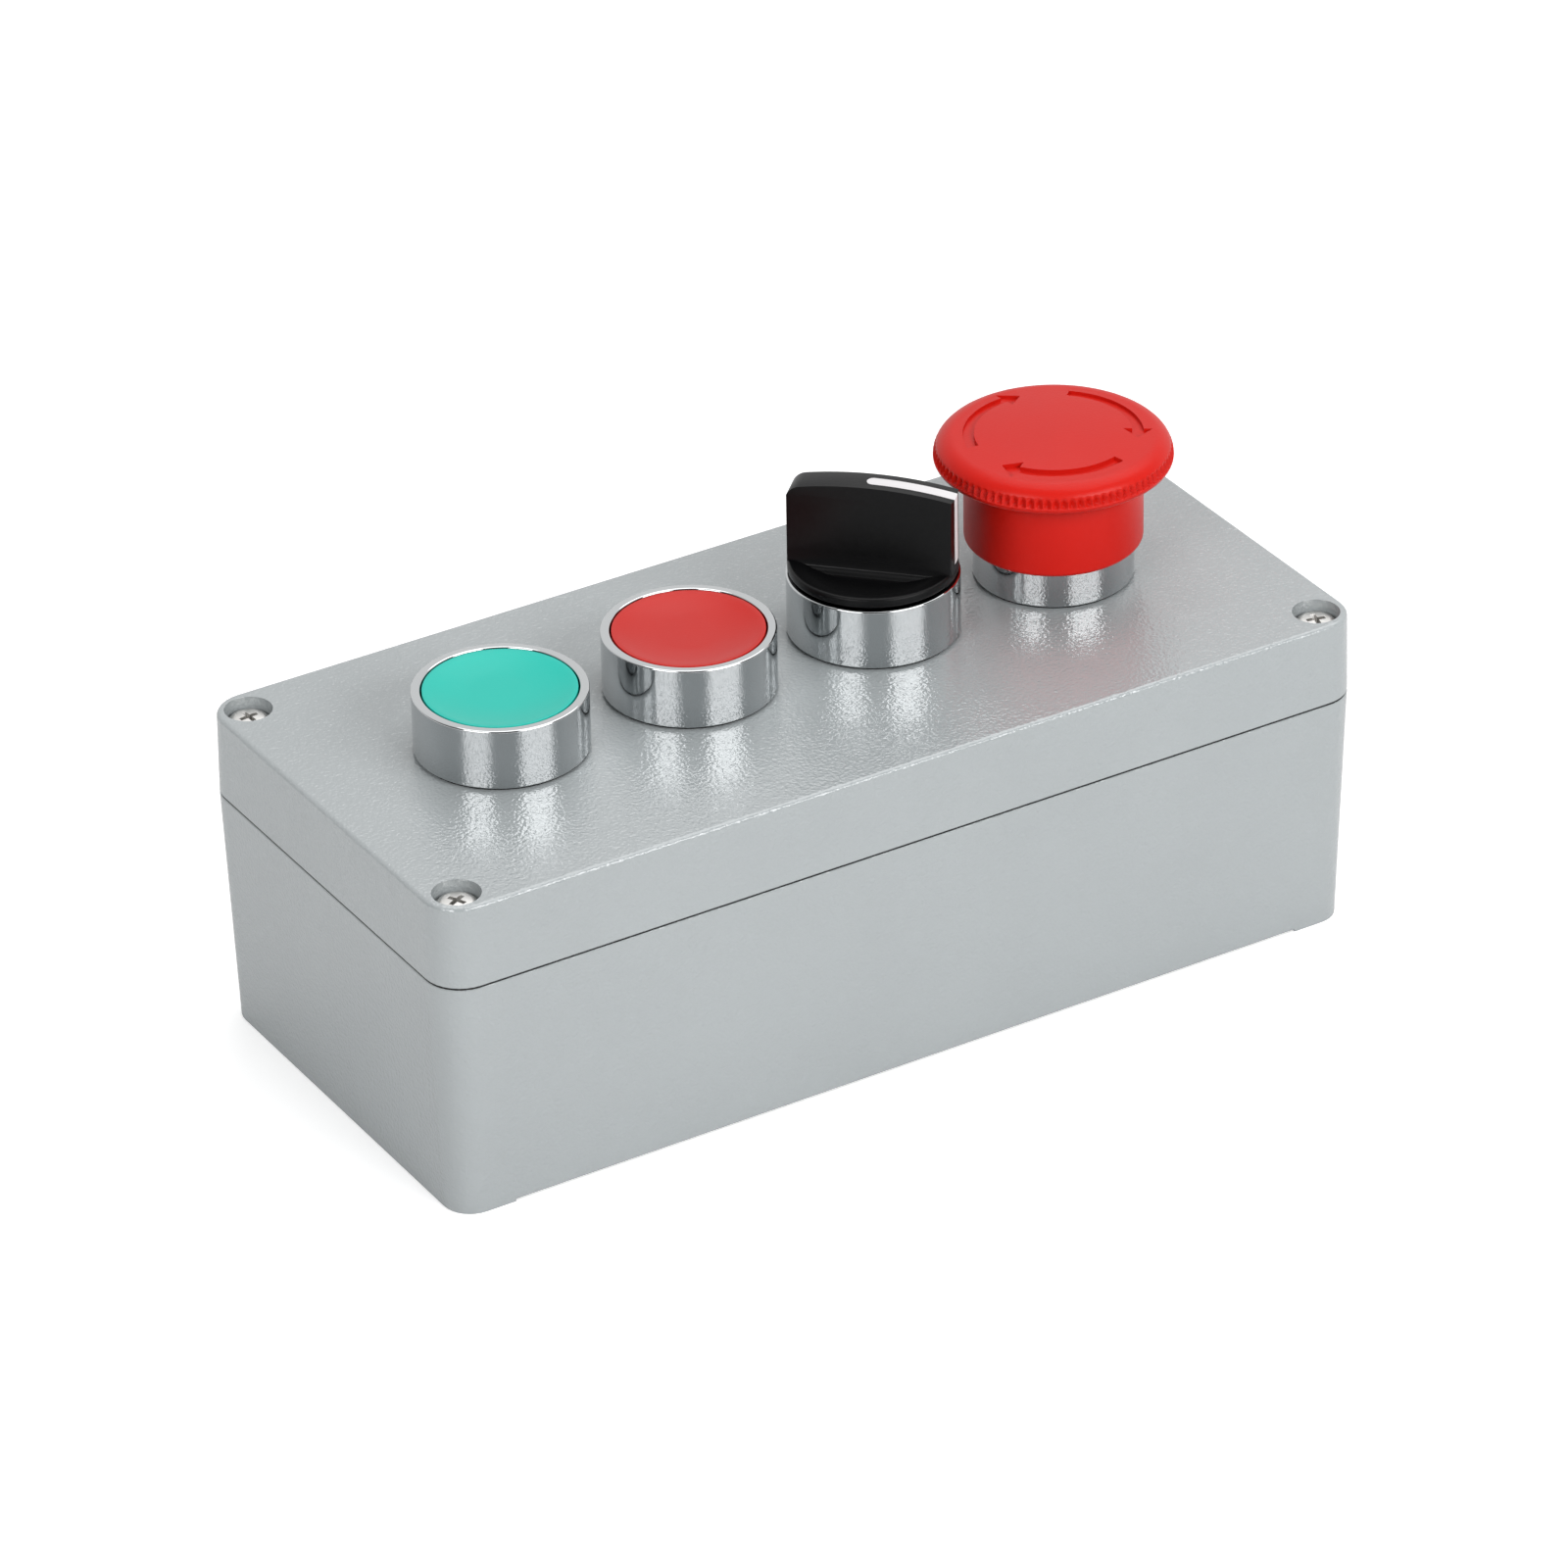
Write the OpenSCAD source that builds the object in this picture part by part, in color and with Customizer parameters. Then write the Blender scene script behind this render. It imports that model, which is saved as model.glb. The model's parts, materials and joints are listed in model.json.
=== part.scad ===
// Pushbutton control station: a die-cast box with two push buttons, a selector and a mushroom stop button.
// Lengths are in millimetres. X runs along the box, Z points out of the lid, and the origin is the
// middle of the base's underside. The operators stand in a row along X, from the green button to the stop.

/* [Enclosure] */
// Length of the box at the joint between base and lid
box_l = 175; // [172:1:200]
// Width of the box at the joint between base and lid
box_w = 80; // [78:1:100]
// Height of the closed box
box_h = 58; // [57:1:75]
// Height of the lid
lid_h = 14.8; // [13.5:0.1:18]
// Radius of the upright corners
corner_r = 6.5; // [6:0.5:8]
// Radius along the lid's upper edge
lid_edge_r = 1.5; // [1:0.25:2.5]
// How far the lid's walls lean in, over its height
lid_draft = 0.2; // [0.1:0.1:0.8]
// How far the base's walls lean in, over its height
base_draft = 1.45; // [0.4:0.05:1.6]
// Thickness of the walls at the joint
rim_t = 4.5; // [4.2:0.1:5]
// Thickness of the lid's plate
panel_t = 3; // [2.5:0.25:3.5]
// Thickness of the base's floor
floor_t = 3.5; // [3:0.25:4.5]
// Length of the raised strip under each end
foot_l = 10.5; // [10:0.5:14]
// Height of the raised strip under each end
foot_h = 0.5; // [0.3:0.1:1]
// Radius of the inner corners
cavity_r = 3; // [2:0.5:4]
// Length of each solid corner, inwards from the end of the box
corner_boss_l = 15; // [14.5:0.5:17]
// Width of each solid corner, inwards from the side of the box
corner_boss_w = 23; // [22.5:0.5:24]
// Width of the joint's chamfer
joint_chamfer = 0.3; // [0.2:0.1:0.5]

/* [Lid seal] */
// Distance from the inner wall to the seal groove
groove_in = 1.2; // [1:0.1:1.4]
// Width of the seal groove
groove_w = 2.1; // [1.8:0.1:2.3]
// Depth of the seal groove
groove_h = 3; // [2.6:0.1:3.6]
// Height of the tongue that presses the seal
tongue_h = 1.2; // [0.8:0.1:1.6]
// Side clearance of the seal and the tongue in the groove
groove_gap = 0.15; // [0.1:0.05:0.25]

/* [Lid screws] */
// Distance from the box's outside to the screws' axes
lid_screw_inset = 5.7; // [5.6:0.1:6.4]
// Diameter of the pockets for the screw heads
screw_pocket_d = 8; // [7.8:0.1:8.4]
// Depth of the pockets
screw_pocket_h = 5.2; // [4.5:0.1:6]
// Diameter of the screw heads
lid_screw_head_d = 7.2; // [6.8:0.1:7.4]
// Height of the screw heads
lid_screw_head_h = 3; // [2.4:0.1:3.2]
// Diameter of the lid screws
lid_screw_d = 5; // [4:0.5:5]
// Length of the lid screws under the head
lid_screw_l = 22; // [18:1:26]
// Clearance round the screws in the lid
lid_screw_gap = 0.25; // [0.1:0.05:0.3]

/* [Wall fixing] */
// Distance from the box's ends to the fixing holes' axes
fixing_in_x = 6.5; // [6:0.25:7]
// Distance from the box's sides to the fixing holes' axes
fixing_in_y = 14; // [13.75:0.25:15]
// Diameter of the fixing holes
fixing_d = 5; // [4.2:0.1:5.5]
// Diameter of the wells for the fixing screws' heads
fixing_well_d = 8.6; // [8.4:0.1:9.2]
// Thickness of the floor under those wells
fixing_floor_t = 6; // [5:0.5:8]

/* [Cable entry] */
// Diameter of the cable entry
entry_d = 20; // [16:1:20]
// Diameter of the plug's head
plug_head_d = 24; // [23.5:0.5:26]
// Thickness of the plug's head
plug_head_t = 2.6; // [2:0.2:4]
// Length of the plug's shank
plug_shank_l = 9; // [7:0.5:11]
// Wall of the plug's hollow shank
plug_wall = 2; // [1.5:0.25:3]
// Width of the plug's driving slot
plug_slot_w = 2.4; // [1.6:0.2:3.2]
// Depth of the plug's driving slot
plug_slot_h = 1.5; // [1:0.1:1.8]
// Thickness of the plug's seal
plug_seal_t = 1; // [0.8:0.1:1.5]
// Depth of the flat that the plug's seal sits on
spot_face_h = 0.3; // [0.2:0.1:0.5]
// Clearance of the plug in its hole
plug_gap = 0.1; // [0.05:0.05:0.2]

/* [Earth terminal] */
// Distance from the box's end to the earth terminal
earth_in_x = 21.5; // [20.5:0.5:27]
// Distance from the box's side to the earth terminal
earth_in_y = 13; // [12:0.5:14]
// Diameter of the earth boss
earth_boss_d = 9; // [8:0.5:10]
// Height of the earth boss over the floor
earth_boss_h = 5; // [4:0.5:7]
// Diameter of the earth screw
earth_screw_d = 4; // [3:0.5:4]
// Length of the earth screw under its head
earth_screw_l = 6; // [5:0.5:7]
// Diameter of the earth screw's head
earth_head_d = 7.4; // [7:0.2:8]
// Height of the earth screw's head
earth_head_h = 2.6; // [2:0.2:3]
// Diameter of the earth clamp washer
earth_washer_d = 8.6; // [8:0.2:9.6]
// Thickness of the earth clamp washer
earth_washer_t = 1.2; // [0.8:0.1:1.6]

/* [Row of operators] */
// Distance from one operator to the next
pitch = 35.4; // [35:0.1:36]
// How far the row stands behind the lid's centre line
row_y = 1.2; // [0:0.1:1.5]
// Diameter of the panel holes
panel_hole_d = 22.3; // [22.2:0.05:22.5]
// Width of the locating key in each panel hole
key_w = 3; // [2.4:0.2:3.4]
// Height of the locating key
key_h = 0.9; // [0.6:0.1:1]
// Clearance round the locating key
key_gap = 0.15; // [0.1:0.05:0.2]

/* [Operator body] */
// Diameter of the bright ring
ring_d = 28.9; // [28.6:0.1:30]
// Height of the bright ring and its gasket over the lid
ring_h = 11; // [10.8:0.1:12]
// Diameter of the well in the ring
well_d = 25.8; // [25.4:0.1:26.4]
// Thickness of the well's floor
well_floor_t = 1.2; // [1:0.1:1.3]
// Rounding of the ring's edges
ring_edge_r = 0.35; // [0.2:0.05:0.5]
// Diameter of the neck through the panel
neck_d = 22; // [21.6:0.1:22.1]
// Diameter of the bore in the neck
bore_d = 17; // [16.5:0.1:17.5]
// How far the neck ends inside the collar
neck_recess = 0.5; // [0.3:0.1:1]
// Thickness of the spring seat at the neck's end
seat_t = 1.5; // [1.2:0.1:1.8]
// Diameter of the hole in the spring seat
seat_hole_d = 9; // [8.8:0.1:9.2]
// Reach of each bayonet lug from the neck
lug_t = 1.2; // [0.9:0.1:1.3]
// Height of the bayonet lugs
lug_h = 2; // [1.5:0.1:2.3]
// Width of the bayonet lugs
lug_w = 7; // [5:0.5:9]
// Running clearance of what slides in the bore, on the radius
run_gap = 0.08; // [0.03:0.01:0.09]

/* [Operator gasket] */
// Diameter of the gasket under each ring
gasket_d = 28; // [27.6:0.1:28.6]
// Thickness of the gasket under each ring
gasket_t = 0.4; // [0.3:0.1:1]

/* [Push buttons] */
// Travel of the buttons
press_travel = 4; // [3:0.25:4]
// Clearance round the caps in their wells
cap_gap = 0.25; // [0.2:0.05:0.3]
// How far the caps' rims lie under the ring's top
cap_drop = 0.1; // [0:0.1:0.4]
// Height of the caps
cap_h = 4.6; // [4.2:0.1:4.7]
// Width of the flat land round the caps' dish
cap_land = 1.2; // [0.8:0.1:2]
// Depth of the caps' dish
cap_dish = 1.1; // [0.4:0.1:1.4]
// Rounding of the caps' edge
cap_edge_r = 0.5; // [0.3:0.1:0.8]
// Wall of the caps
cap_wall = 2; // [1.6:0.1:2.4]
// Thickness of the stem's head in the cap
stem_head_t = 2; // [1.6:0.1:2.1]
// Diameter of the stem's lower end
stem_tip_d = 8; // [7.4:0.1:8.2]
// Room for a button's spring, between its seat and the stem
button_spring_l = 6.5; // [6:0.25:7]

/* [Springs] */
// Mean diameter of the springs' coils
coil_d = 11.6; // [11:0.1:12.6]
// Diameter of the springs' wire
wire_d = 0.7; // [0.5:0.05:0.8]
// Turns of each spring
coil_turns = 3; // [2.5:0.5:4]
// Gap between a spring and its seats
spring_gap = 0.05; // [0.02:0.01:0.1]

/* [Selector] */
// Angle of the pointer at rest, from the box's length
pointer_angle = -45; // [-45:1:45]
// Quarter turn between the two positions
select_angle = 90; // [60:1:90]
// Diameter of the knob's base
knob_d = 28.3; // [27.8:0.1:28.6]
// Height of the knob's base
knob_base_h = 2; // [1.6:0.1:2.6]
// Rounded share of the lower half of the knob's base
knob_foot_share = 0.9; // [0.5:0.05:0.95]
// Gap between the knob and the ring
knob_gap = 0.2; // [0.15:0.05:0.3]
// Height of the handle's middle over the lid
handle_top = 27.5; // [26:0.1:29]
// How far the handle's top falls towards its ends
handle_fall = 1.4; // [1:0.1:2]
// Thickness of the handle at its top
handle_t = 5.2; // [4.8:0.1:6]
// Thickness of the handle at its foot
handle_foot_t = 7; // [6.4:0.1:8]
// Rounding of the handle's tail
tail_r = 3; // [2:0.25:4]
// Rounding of the handle's long edges
handle_edge_r = 0.6; // [0.4:0.1:1]
// Width of the white pointer
pointer_w = 2.2; // [1.6:0.1:2.6]
// Depth of the white pointer in the handle
pointer_t = 0.8; // [0.5:0.1:1.2]
// How far the pointer starts behind the knob's axis
pointer_start = 1.4; // [0.5:0.1:3]
// Height of the pointer's lower end over the knob's base
pointer_foot = 1; // [0.5:0.1:3]
// Depth of the finger hollow in the knob's base
hollow_h = 0.7; // [0.4:0.1:0.9]
// Side of the square drive
drive_w = 7; // [6:0.25:7.5]
// Length of the square drive
drive_l = 6.5; // [5:0.25:7]
// Clearance round the square drive
drive_gap = 0.1; // [0.05:0.05:0.15]

/* [Selector cam] */
// Lift of the cam over the quarter turn
cam_lift = 3; // [2:0.25:3]
// Radius at which the follower's pin touches the cam
pin_orbit_r = 6; // [5.6:0.1:6.4]
// Diameter of the follower's pin
pin_d = 2.4; // [2:0.1:2.8]
// Gap between the pin and the cam
cam_gap = 0.25; // [0.2:0.05:0.3]
// Thickness of the follower's disc
follower_t = 3; // [2.5:0.25:3]
// Thickness of the cam's flange
cam_flange_t = 2; // [1.5:0.25:2.25]
// Clearance of the cam's flange in the well
cam_flange_gap = 1.2; // [0.5:0.1:2]
// Width of the follower's key
follower_key_w = 2.6; // [2:0.2:3]
// Reach of the follower's key
follower_key_h = 0.9; // [0.6:0.1:1.1]

/* [Stop button] */
// Travel of the stop button
stop_travel = 6; // [4:0.25:6]
// Diameter of the mushroom
mushroom_d = 40; // [38:0.5:42]
// Height of the mushroom's widest circle over the lid
mushroom_z = 22.3; // [22:0.05:24]
// Radius of the mushroom's upper edge
mushroom_edge_r = 3.6; // [3:0.1:4]
// Radius of the mushroom's lower edge
mushroom_low_r = 1.1; // [0.8:0.1:2]
// Rise of the mushroom's dome
dome_h = 0.8; // [0.6:0.05:1.6]
// Number of ribs round the mushroom's lower edge
rib_count = 90; // [60:2:90]
// Depth of the grooves between the ribs
rib_h = 0.45; // [0.3:0.05:0.6]
// Height of the grooves' upper end over the widest circle
rib_rise = 1.9; // [1:0.1:2.4]
// Diameter of the mushroom's skirt
skirt_d = 30; // [29.6:0.1:31]
// Height of the skirt's lower edge over the lid
skirt_z = 6.8; // [6.6:0.1:8]
// Rounding of the skirt's lower edge
skirt_edge_r = 0.8; // [0.5:0.1:0.9]
// Diameter of the stop button's bright ring
stop_ring_d = 27; // [26.5:0.1:27.4]
// Height of the stop button's ring over the lid
stop_ring_h = 13.5; // [12:0.25:14.5]
// Clearance between the ring and the skirt, on the radius
skirt_gap = 0.5; // [0.4:0.05:0.6]
// Diameter of the well in the stop button's ring
stop_well_d = 20; // [19.5:0.1:21]
// Thickness of the mushroom over its hub
mushroom_crown_t = 5; // [4.5:0.1:5.2]
// Diameter of the mushroom's hub
hub_d = 15; // [14:0.25:16]
// Height of the hub's lower end over the lid
hub_z = 10.2; // [9.8:0.1:10.6]
// Diameter of the pin that the head turns on
turn_pin_d = 10; // [9:0.25:11]
// Clearance of that pin in the hub, on the radius
turn_gap = 0.05; // [0.02:0.01:0.09]
// Room between the pin's end and the hub's bore
turn_end_gap = 0.5; // [0.3:0.1:1]
// Room for the stop button's spring
stop_spring_l = 9.5; // [9:0.25:10]
// Width of the latch ring
latch_w = 1.6; // [1.2:0.1:2]
// Depth of the latch ring's groove
latch_t = 1.2; // [0.8:0.1:1.6]
// Width of the gap in the latch ring
latch_split_w = 3; // [2:0.5:4]

/* [Mounting collar] */
// Length of the collar's sides
collar_w = 30; // [29:0.5:31]
// Height of the collar
collar_h = 9; // [8.5:0.25:9.5]
// Gap between the collar and the lid
clamp_gap = 1.5; // [1:0.25:2]
// Radius of the collar's corners
collar_r = 3; // [2:0.5:5]
// Height of the bayonet recess in the collar
bayonet_h = 3; // [2.6:0.1:3.4]
// Clearance round the bayonet lugs
bayonet_gap = 0.15; // [0.1:0.05:0.3]
// Place of the clamp screws along the box, from the operator's axis
clamp_x = 11; // [10.5:0.25:11.5]
// Place of the clamp screws across the box, from the operator's axis
clamp_y = 11.5; // [11:0.25:11.75]

/* [Contact block] */
// Width of the contact blocks
block_w = 10.4; // [10:0.2:11]
// Length of the contact blocks
block_l = 30; // [29:0.5:31]
// Room for the wires between the contact blocks and the floor
wiring_room = 8; // [7:0.5:12]
// How far the terminals stand in from the block's ends
terminal_step = 2; // [1:0.25:2.5]
// Height of the block's terminal part
terminal_h = 8.5; // [8:0.25:10]
// Height of the terminal pockets
pocket_h = 6; // [5:0.25:6.5]
// Width of the terminal pockets
pocket_w = 8; // [7.4:0.2:8.2]
// Length of the terminal pockets
pocket_l = 8; // [7:0.25:8.5]
// Diameter of the contact plungers
plunger_d = 6; // [5.5:0.1:6.2]
// Length of each contact plunger inside its block
plunger_in_l = 5; // [4:0.5:6]
// Clearance between what presses and the contact plunger
press_gap = 0.3; // [0.2:0.05:0.35]
// Width of the blocks' hooks
hook_w = 6; // [5:0.5:7]
// Thickness of the blocks' hooks
hook_t = 1.6; // [1.2:0.1:2]
// Height of the blocks' hooks over the block
hook_h = 6; // [5:0.5:7]
// Reach of each hook's barb into the collar
barb_h = 0.8; // [0.5:0.1:1.2]
// Height of each hook's barb
barb_l = 1.6; // [1.2:0.1:2]
// Clearance round the hooks
hook_gap = 0.1; // [0.05:0.05:0.2]

/* [Small screws] */
// Diameter of the clamp screws
clamp_screw_d = 4; // [3:0.5:4]
// Diameter of the clamp screws' heads
clamp_head_d = 6.4; // [6:0.2:6.8]
// Height of the clamp screws' heads
clamp_head_h = 2.4; // [2:0.2:3]
// Diameter of the terminal screws
terminal_screw_d = 3.5; // [3:0.1:4]
// Length of the terminal screws under the head
terminal_screw_l = 6; // [5:0.5:7]
// Diameter of the terminal screws' heads
terminal_head_d = 6.4; // [6:0.2:6.8]
// Height of the terminal screws' heads
terminal_head_h = 2.2; // [1.8:0.1:2.4]
// Thickness of the wire clamps
wire_clamp_t = 1; // [0.8:0.1:1.4]
// Clearance round the wire clamps in their pockets
wire_clamp_gap = 0.3; // [0.2:0.05:0.4]
// Depth of the screws' cross recesses
recess_h = 1.2; // [0.8:0.1:1.4]
// Width of the cross recesses' arms
recess_w = 0.9; // [0.7:0.1:1.2]
// Length of the cross recesses' arms as a share of the head
recess_share = 0.6; // [0.5:0.05:0.7]

/* [Hidden] */

// Overrun of every cut
cut = 1;
// Facets of plain round pieces, of the corners that a hull joins, and of the inner corners
$fn = 48;
hull_fn = 32;
cavity_fn = 24;
// Points along each small rounding of a profile
round_steps = 4;
// Rings of a spring for each turn, and sides of its wire
coil_rings = 18;
wire_sides = 6;

// Heights of the box
z_floor = floor_t;
z_joint = box_h - lid_h;
z_panel = box_h - panel_t;
z_screw_end = box_h - screw_pocket_h - lid_screw_l;
// Places of the fixing holes, the cable entry and the earth terminal
fixing_x = box_l / 2 - fixing_in_x;
fixing_y = box_w / 2 - fixing_in_y;
entry_z = z_joint / 2;
earth_x = box_l / 2 - earth_in_x;
earth_y = earth_in_y - box_w / 2;
// Heights that every operator shares
z_ring = box_h + gasket_t;
z_rim = box_h + ring_h;
z_well = z_ring + well_floor_t;
z_collar = z_panel - clamp_gap - collar_h;
z_neck = z_collar + neck_recess;
z_seat = z_neck + seat_t;
// Height of the contact blocks, and of the terminals' lower face
block_h = z_collar - z_floor - wiring_room;
z_block = z_collar - block_h;
// Place of the clamp's middle in a pocket, across the box from the operator's axis
terminal_y = block_l / 2 - terminal_step - pocket_l / 2;
// Depth of the plunger's guide in each block
plunger_room = plunger_in_l + max(press_travel, stop_travel) + press_gap;
// Face of the end wall that the plug's seal sits on
plug_seat_x = box_l / 2 - base_draft * (1 - (entry_z - plug_head_d / 2) / z_joint) - spot_face_h;

// Places of the operators along the box
green_x = -1.5 * pitch;
red_x = -0.5 * pitch;
selector_x = 0.5 * pitch;
stop_x = 1.5 * pitch;
row_places = [green_x, red_x, selector_x, stop_x];

piston_d = bore_d - 2 * run_gap;
cap_d = well_d - 2 * cap_gap;
cap_z = z_rim - cap_drop;
handle_z = box_h + handle_top;
handle_end_z = handle_z - handle_fall;
knob_z = z_rim + knob_gap;
knob_top_z = knob_z + knob_base_h;
knob_foot_r = knob_foot_share * knob_base_h / 2;
// Slope of the cam's face: the pin sees an eighth turn on each side of its steepest line
cam_slope = cam_lift / (2 * pin_orbit_r * sin(select_angle / 2));
cam_z = z_seat + button_spring_l + follower_t + press_gap + piston_d / 2 * cam_slope;
// Angle of the follower's pin round the selector's axis, and height of its round end at rest
pin_angle = 90;
pin_z = cam_z + cam_lift / 2 - (cam_gap + pin_d / 2) / cos(atan(cam_slope));
// Keyway that keeps the follower from turning
keyway_w = follower_key_w + 2 * key_gap;
keyway_h = follower_key_h + key_gap;
mushroom_widest_z = box_h + mushroom_z;
mushroom_edge_z = mushroom_widest_z + mushroom_edge_r;
mushroom_top_z = mushroom_edge_z + dome_h;
hub_top_z = mushroom_top_z - mushroom_crown_t;

// Colours
cast_grey = [0.72, 0.75, 0.74];
bright = [0.8, 0.81, 0.82];
zinc = [0.66, 0.67, 0.68];
steel = [0.74, 0.75, 0.76];
seal_black = [0.1, 0.1, 0.1];
button_green = [0.2, 0.78, 0.68];
button_red = [0.85, 0.2, 0.17];
handle_black = [0.07, 0.07, 0.07];
pointer_white = [0.95, 0.95, 0.94];
block_grey = [0.3, 0.31, 0.32];
plunger_white = [0.9, 0.9, 0.88];

// Points of an arc round (x, y), from angle a0 to a1
function arc(x, y, r, a0, a1, n = round_steps) =
    [for (i = [0 : n]) [x + r * cos(a0 + (a1 - a0) * i / n), y + r * sin(a0 + (a1 - a0) * i / n)]];

// Radius of the circle whose cap has this half width and height
function sagitta_r(half_w, h) = (half_w * half_w + h * h) / (2 * h);

// Puts its children at the operator that stands at x
module at_operator(x) translate([x, row_y, 0]) children();

module at_corners(x, y) for (sx = [-1, 1], sy = [-1, 1]) translate([sx * x, sy * y, 0]) children();

// Tube or solid of revolution between two heights
module pipe(d, hole_d, z0, z1) {
    translate([0, 0, z0]) difference() {
        cylinder(d = d, h = z1 - z0);
        translate([0, 0, -cut]) cylinder(d = hole_d, h = z1 - z0 + 2 * cut);
    }
}

module rod(d, z0, z1) translate([0, 0, z0]) cylinder(d = d, h = z1 - z0);

// Outline of the space inside the box, grown on every side
module cavity_outline(grow = 0) {
    $fn = cavity_fn;
    offset(r = grow) offset(r = cavity_r) offset(r = -2 * cavity_r) offset(r = cavity_r)
        difference() {
            square([box_l - 2 * rim_t, box_w - 2 * rim_t], center = true);
            for (sx = [-1, 1], sy = [-1, 1])
                translate([sx * (box_l - corner_boss_l) / 2, sy * (box_w - corner_boss_w) / 2])
                    square([corner_boss_l, corner_boss_w], center = true);
        }
}

// Ring of the joint's seal path, from one distance off the inner wall to another
module seal_path(from, to, h) {
    linear_extrude(height = h) difference() {
        cavity_outline(to);
        cavity_outline(from);
    }
}

// Pan head screw that points down, with its head's underside at the origin
module pan_screw(d, l, head_d, head_h) {
    difference() {
        union() {
            translate([0, 0, -l]) cylinder(d = d, h = l);
            rotate_extrude() polygon(concat([[0, 0]], [[head_d / 2, 0]],
                arc(head_d / 2 - head_h / 2, head_h / 2, head_h / 2, 0, 90), [[0, head_h]]));
        }
        for (a = [0, 90]) rotate(a) translate([0, 0, head_h])
            cube([head_d * recess_share, recess_w, 2 * recess_h], center = true);
    }
}

module enclosure_base() color(cast_grey) {
    difference() {
        union() {
            hull() at_corners(box_l / 2 - corner_r, box_w / 2 - corner_r) {
                $fn = hull_fn;
                cylinder(h = z_joint - joint_chamfer, r1 = corner_r - base_draft, r2 = corner_r);
                translate([0, 0, z_joint - joint_chamfer])
                    cylinder(h = joint_chamfer, r1 = corner_r, r2 = corner_r - joint_chamfer);
            }
            translate([0, 0, z_joint])
                seal_path(groove_in + groove_gap, groove_in + groove_w - groove_gap, tongue_h);
        }
        difference() {
            translate([0, 0, z_floor]) linear_extrude(height = z_joint + cut) cavity_outline();
            translate([earth_x, earth_y, 0]) cylinder(d = earth_boss_d, h = z_floor + earth_boss_h);
        }
        cube([box_l - 2 * (base_draft + foot_l), box_w + 2 * cut, 2 * foot_h], center = true);
        at_corners(box_l / 2 - lid_screw_inset, box_w / 2 - lid_screw_inset)
            translate([0, 0, z_screw_end]) cylinder(d = lid_screw_d, h = lid_screw_l);
        at_corners(fixing_x, fixing_y) {
            translate([0, 0, -cut]) cylinder(d = fixing_d, h = z_joint);
            translate([0, 0, fixing_floor_t]) cylinder(d = fixing_well_d, h = z_joint);
        }
        translate([0, 0, entry_z]) rotate([0, 90, 0]) {
            cylinder(d = entry_d, h = box_l);
            translate([0, 0, plug_seat_x]) cylinder(d = plug_head_d + 2 * spot_face_h, h = box_l);
        }
        translate([earth_x, earth_y, z_floor + earth_boss_h - earth_screw_l])
            cylinder(d = earth_screw_d, h = earth_screw_l + cut);
    }
}

module enclosure_lid() color(cast_grey) {
    difference() {
        translate([0, 0, z_joint]) hull() at_corners(box_l / 2 - corner_r, box_w / 2 - corner_r) {
            $fn = hull_fn;
            cylinder(h = joint_chamfer, r1 = corner_r - joint_chamfer, r2 = corner_r);
            translate([0, 0, lid_h - lid_edge_r]) rotate_extrude()
                translate([corner_r - lid_draft - lid_edge_r, 0]) intersection() {
                    circle(r = lid_edge_r);
                    square(lid_edge_r);
                }
        }
        translate([0, 0, -cut]) linear_extrude(height = z_panel + cut) cavity_outline();
        translate([0, 0, z_joint - cut]) seal_path(groove_in, groove_in + groove_w, groove_h + cut);
        at_corners(box_l / 2 - lid_screw_inset, box_w / 2 - lid_screw_inset) {
            cylinder(d = lid_screw_d + 2 * lid_screw_gap, h = box_h + cut);
            translate([0, 0, box_h - screw_pocket_h]) cylinder(d = screw_pocket_d, h = screw_pocket_h + cut);
        }
        for (x = row_places) at_operator(x) {
            cylinder(d = panel_hole_d, h = box_h + cut);
            translate([0, panel_hole_d / 2, box_h])
                cube([key_w + 2 * key_gap, 2 * (key_h + key_gap), 4 * panel_t], center = true);
        }
    }
}

module lid_gasket() color(seal_black)
    translate([0, 0, z_joint + tongue_h])
        seal_path(groove_in + groove_gap, groove_in + groove_w - groove_gap, groove_h - tongue_h);

module lid_screws() color(steel)
    at_corners(box_l / 2 - lid_screw_inset, box_w / 2 - lid_screw_inset)
        translate([0, 0, box_h - screw_pocket_h])
            pan_screw(lid_screw_d, lid_screw_l, lid_screw_head_d, lid_screw_head_h);

module blanking_plug() color(seal_black)
    translate([plug_seat_x, 0, entry_z]) rotate([0, 90, 0]) difference() {
        union() {
            translate([0, 0, plug_seal_t]) cylinder(d = plug_head_d, h = plug_head_t);
            translate([0, 0, plug_seal_t - plug_shank_l])
                cylinder(d = entry_d - 2 * plug_gap, h = plug_shank_l);
        }
        translate([0, 0, plug_seal_t - plug_shank_l - cut])
            cylinder(d = entry_d - 2 * (plug_gap + plug_wall), h = plug_shank_l - plug_wall + cut);
        translate([0, 0, plug_seal_t + plug_head_t])
            cube([entry_d, plug_slot_w, 2 * plug_slot_h], center = true);
    }

module plug_seal() color(seal_black)
    translate([plug_seat_x, 0, entry_z]) rotate([0, 90, 0]) pipe(plug_head_d, entry_d, 0, plug_seal_t);

module earth_screw() color(steel)
    translate([earth_x, earth_y, z_floor + earth_boss_h + earth_washer_t])
        pan_screw(earth_screw_d, earth_screw_l, earth_head_d, earth_head_h);

module earth_washer() color(steel)
    translate([earth_x, earth_y, z_floor + earth_boss_h])
        pipe(earth_washer_d, earth_screw_d, 0, earth_washer_t);

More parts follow.
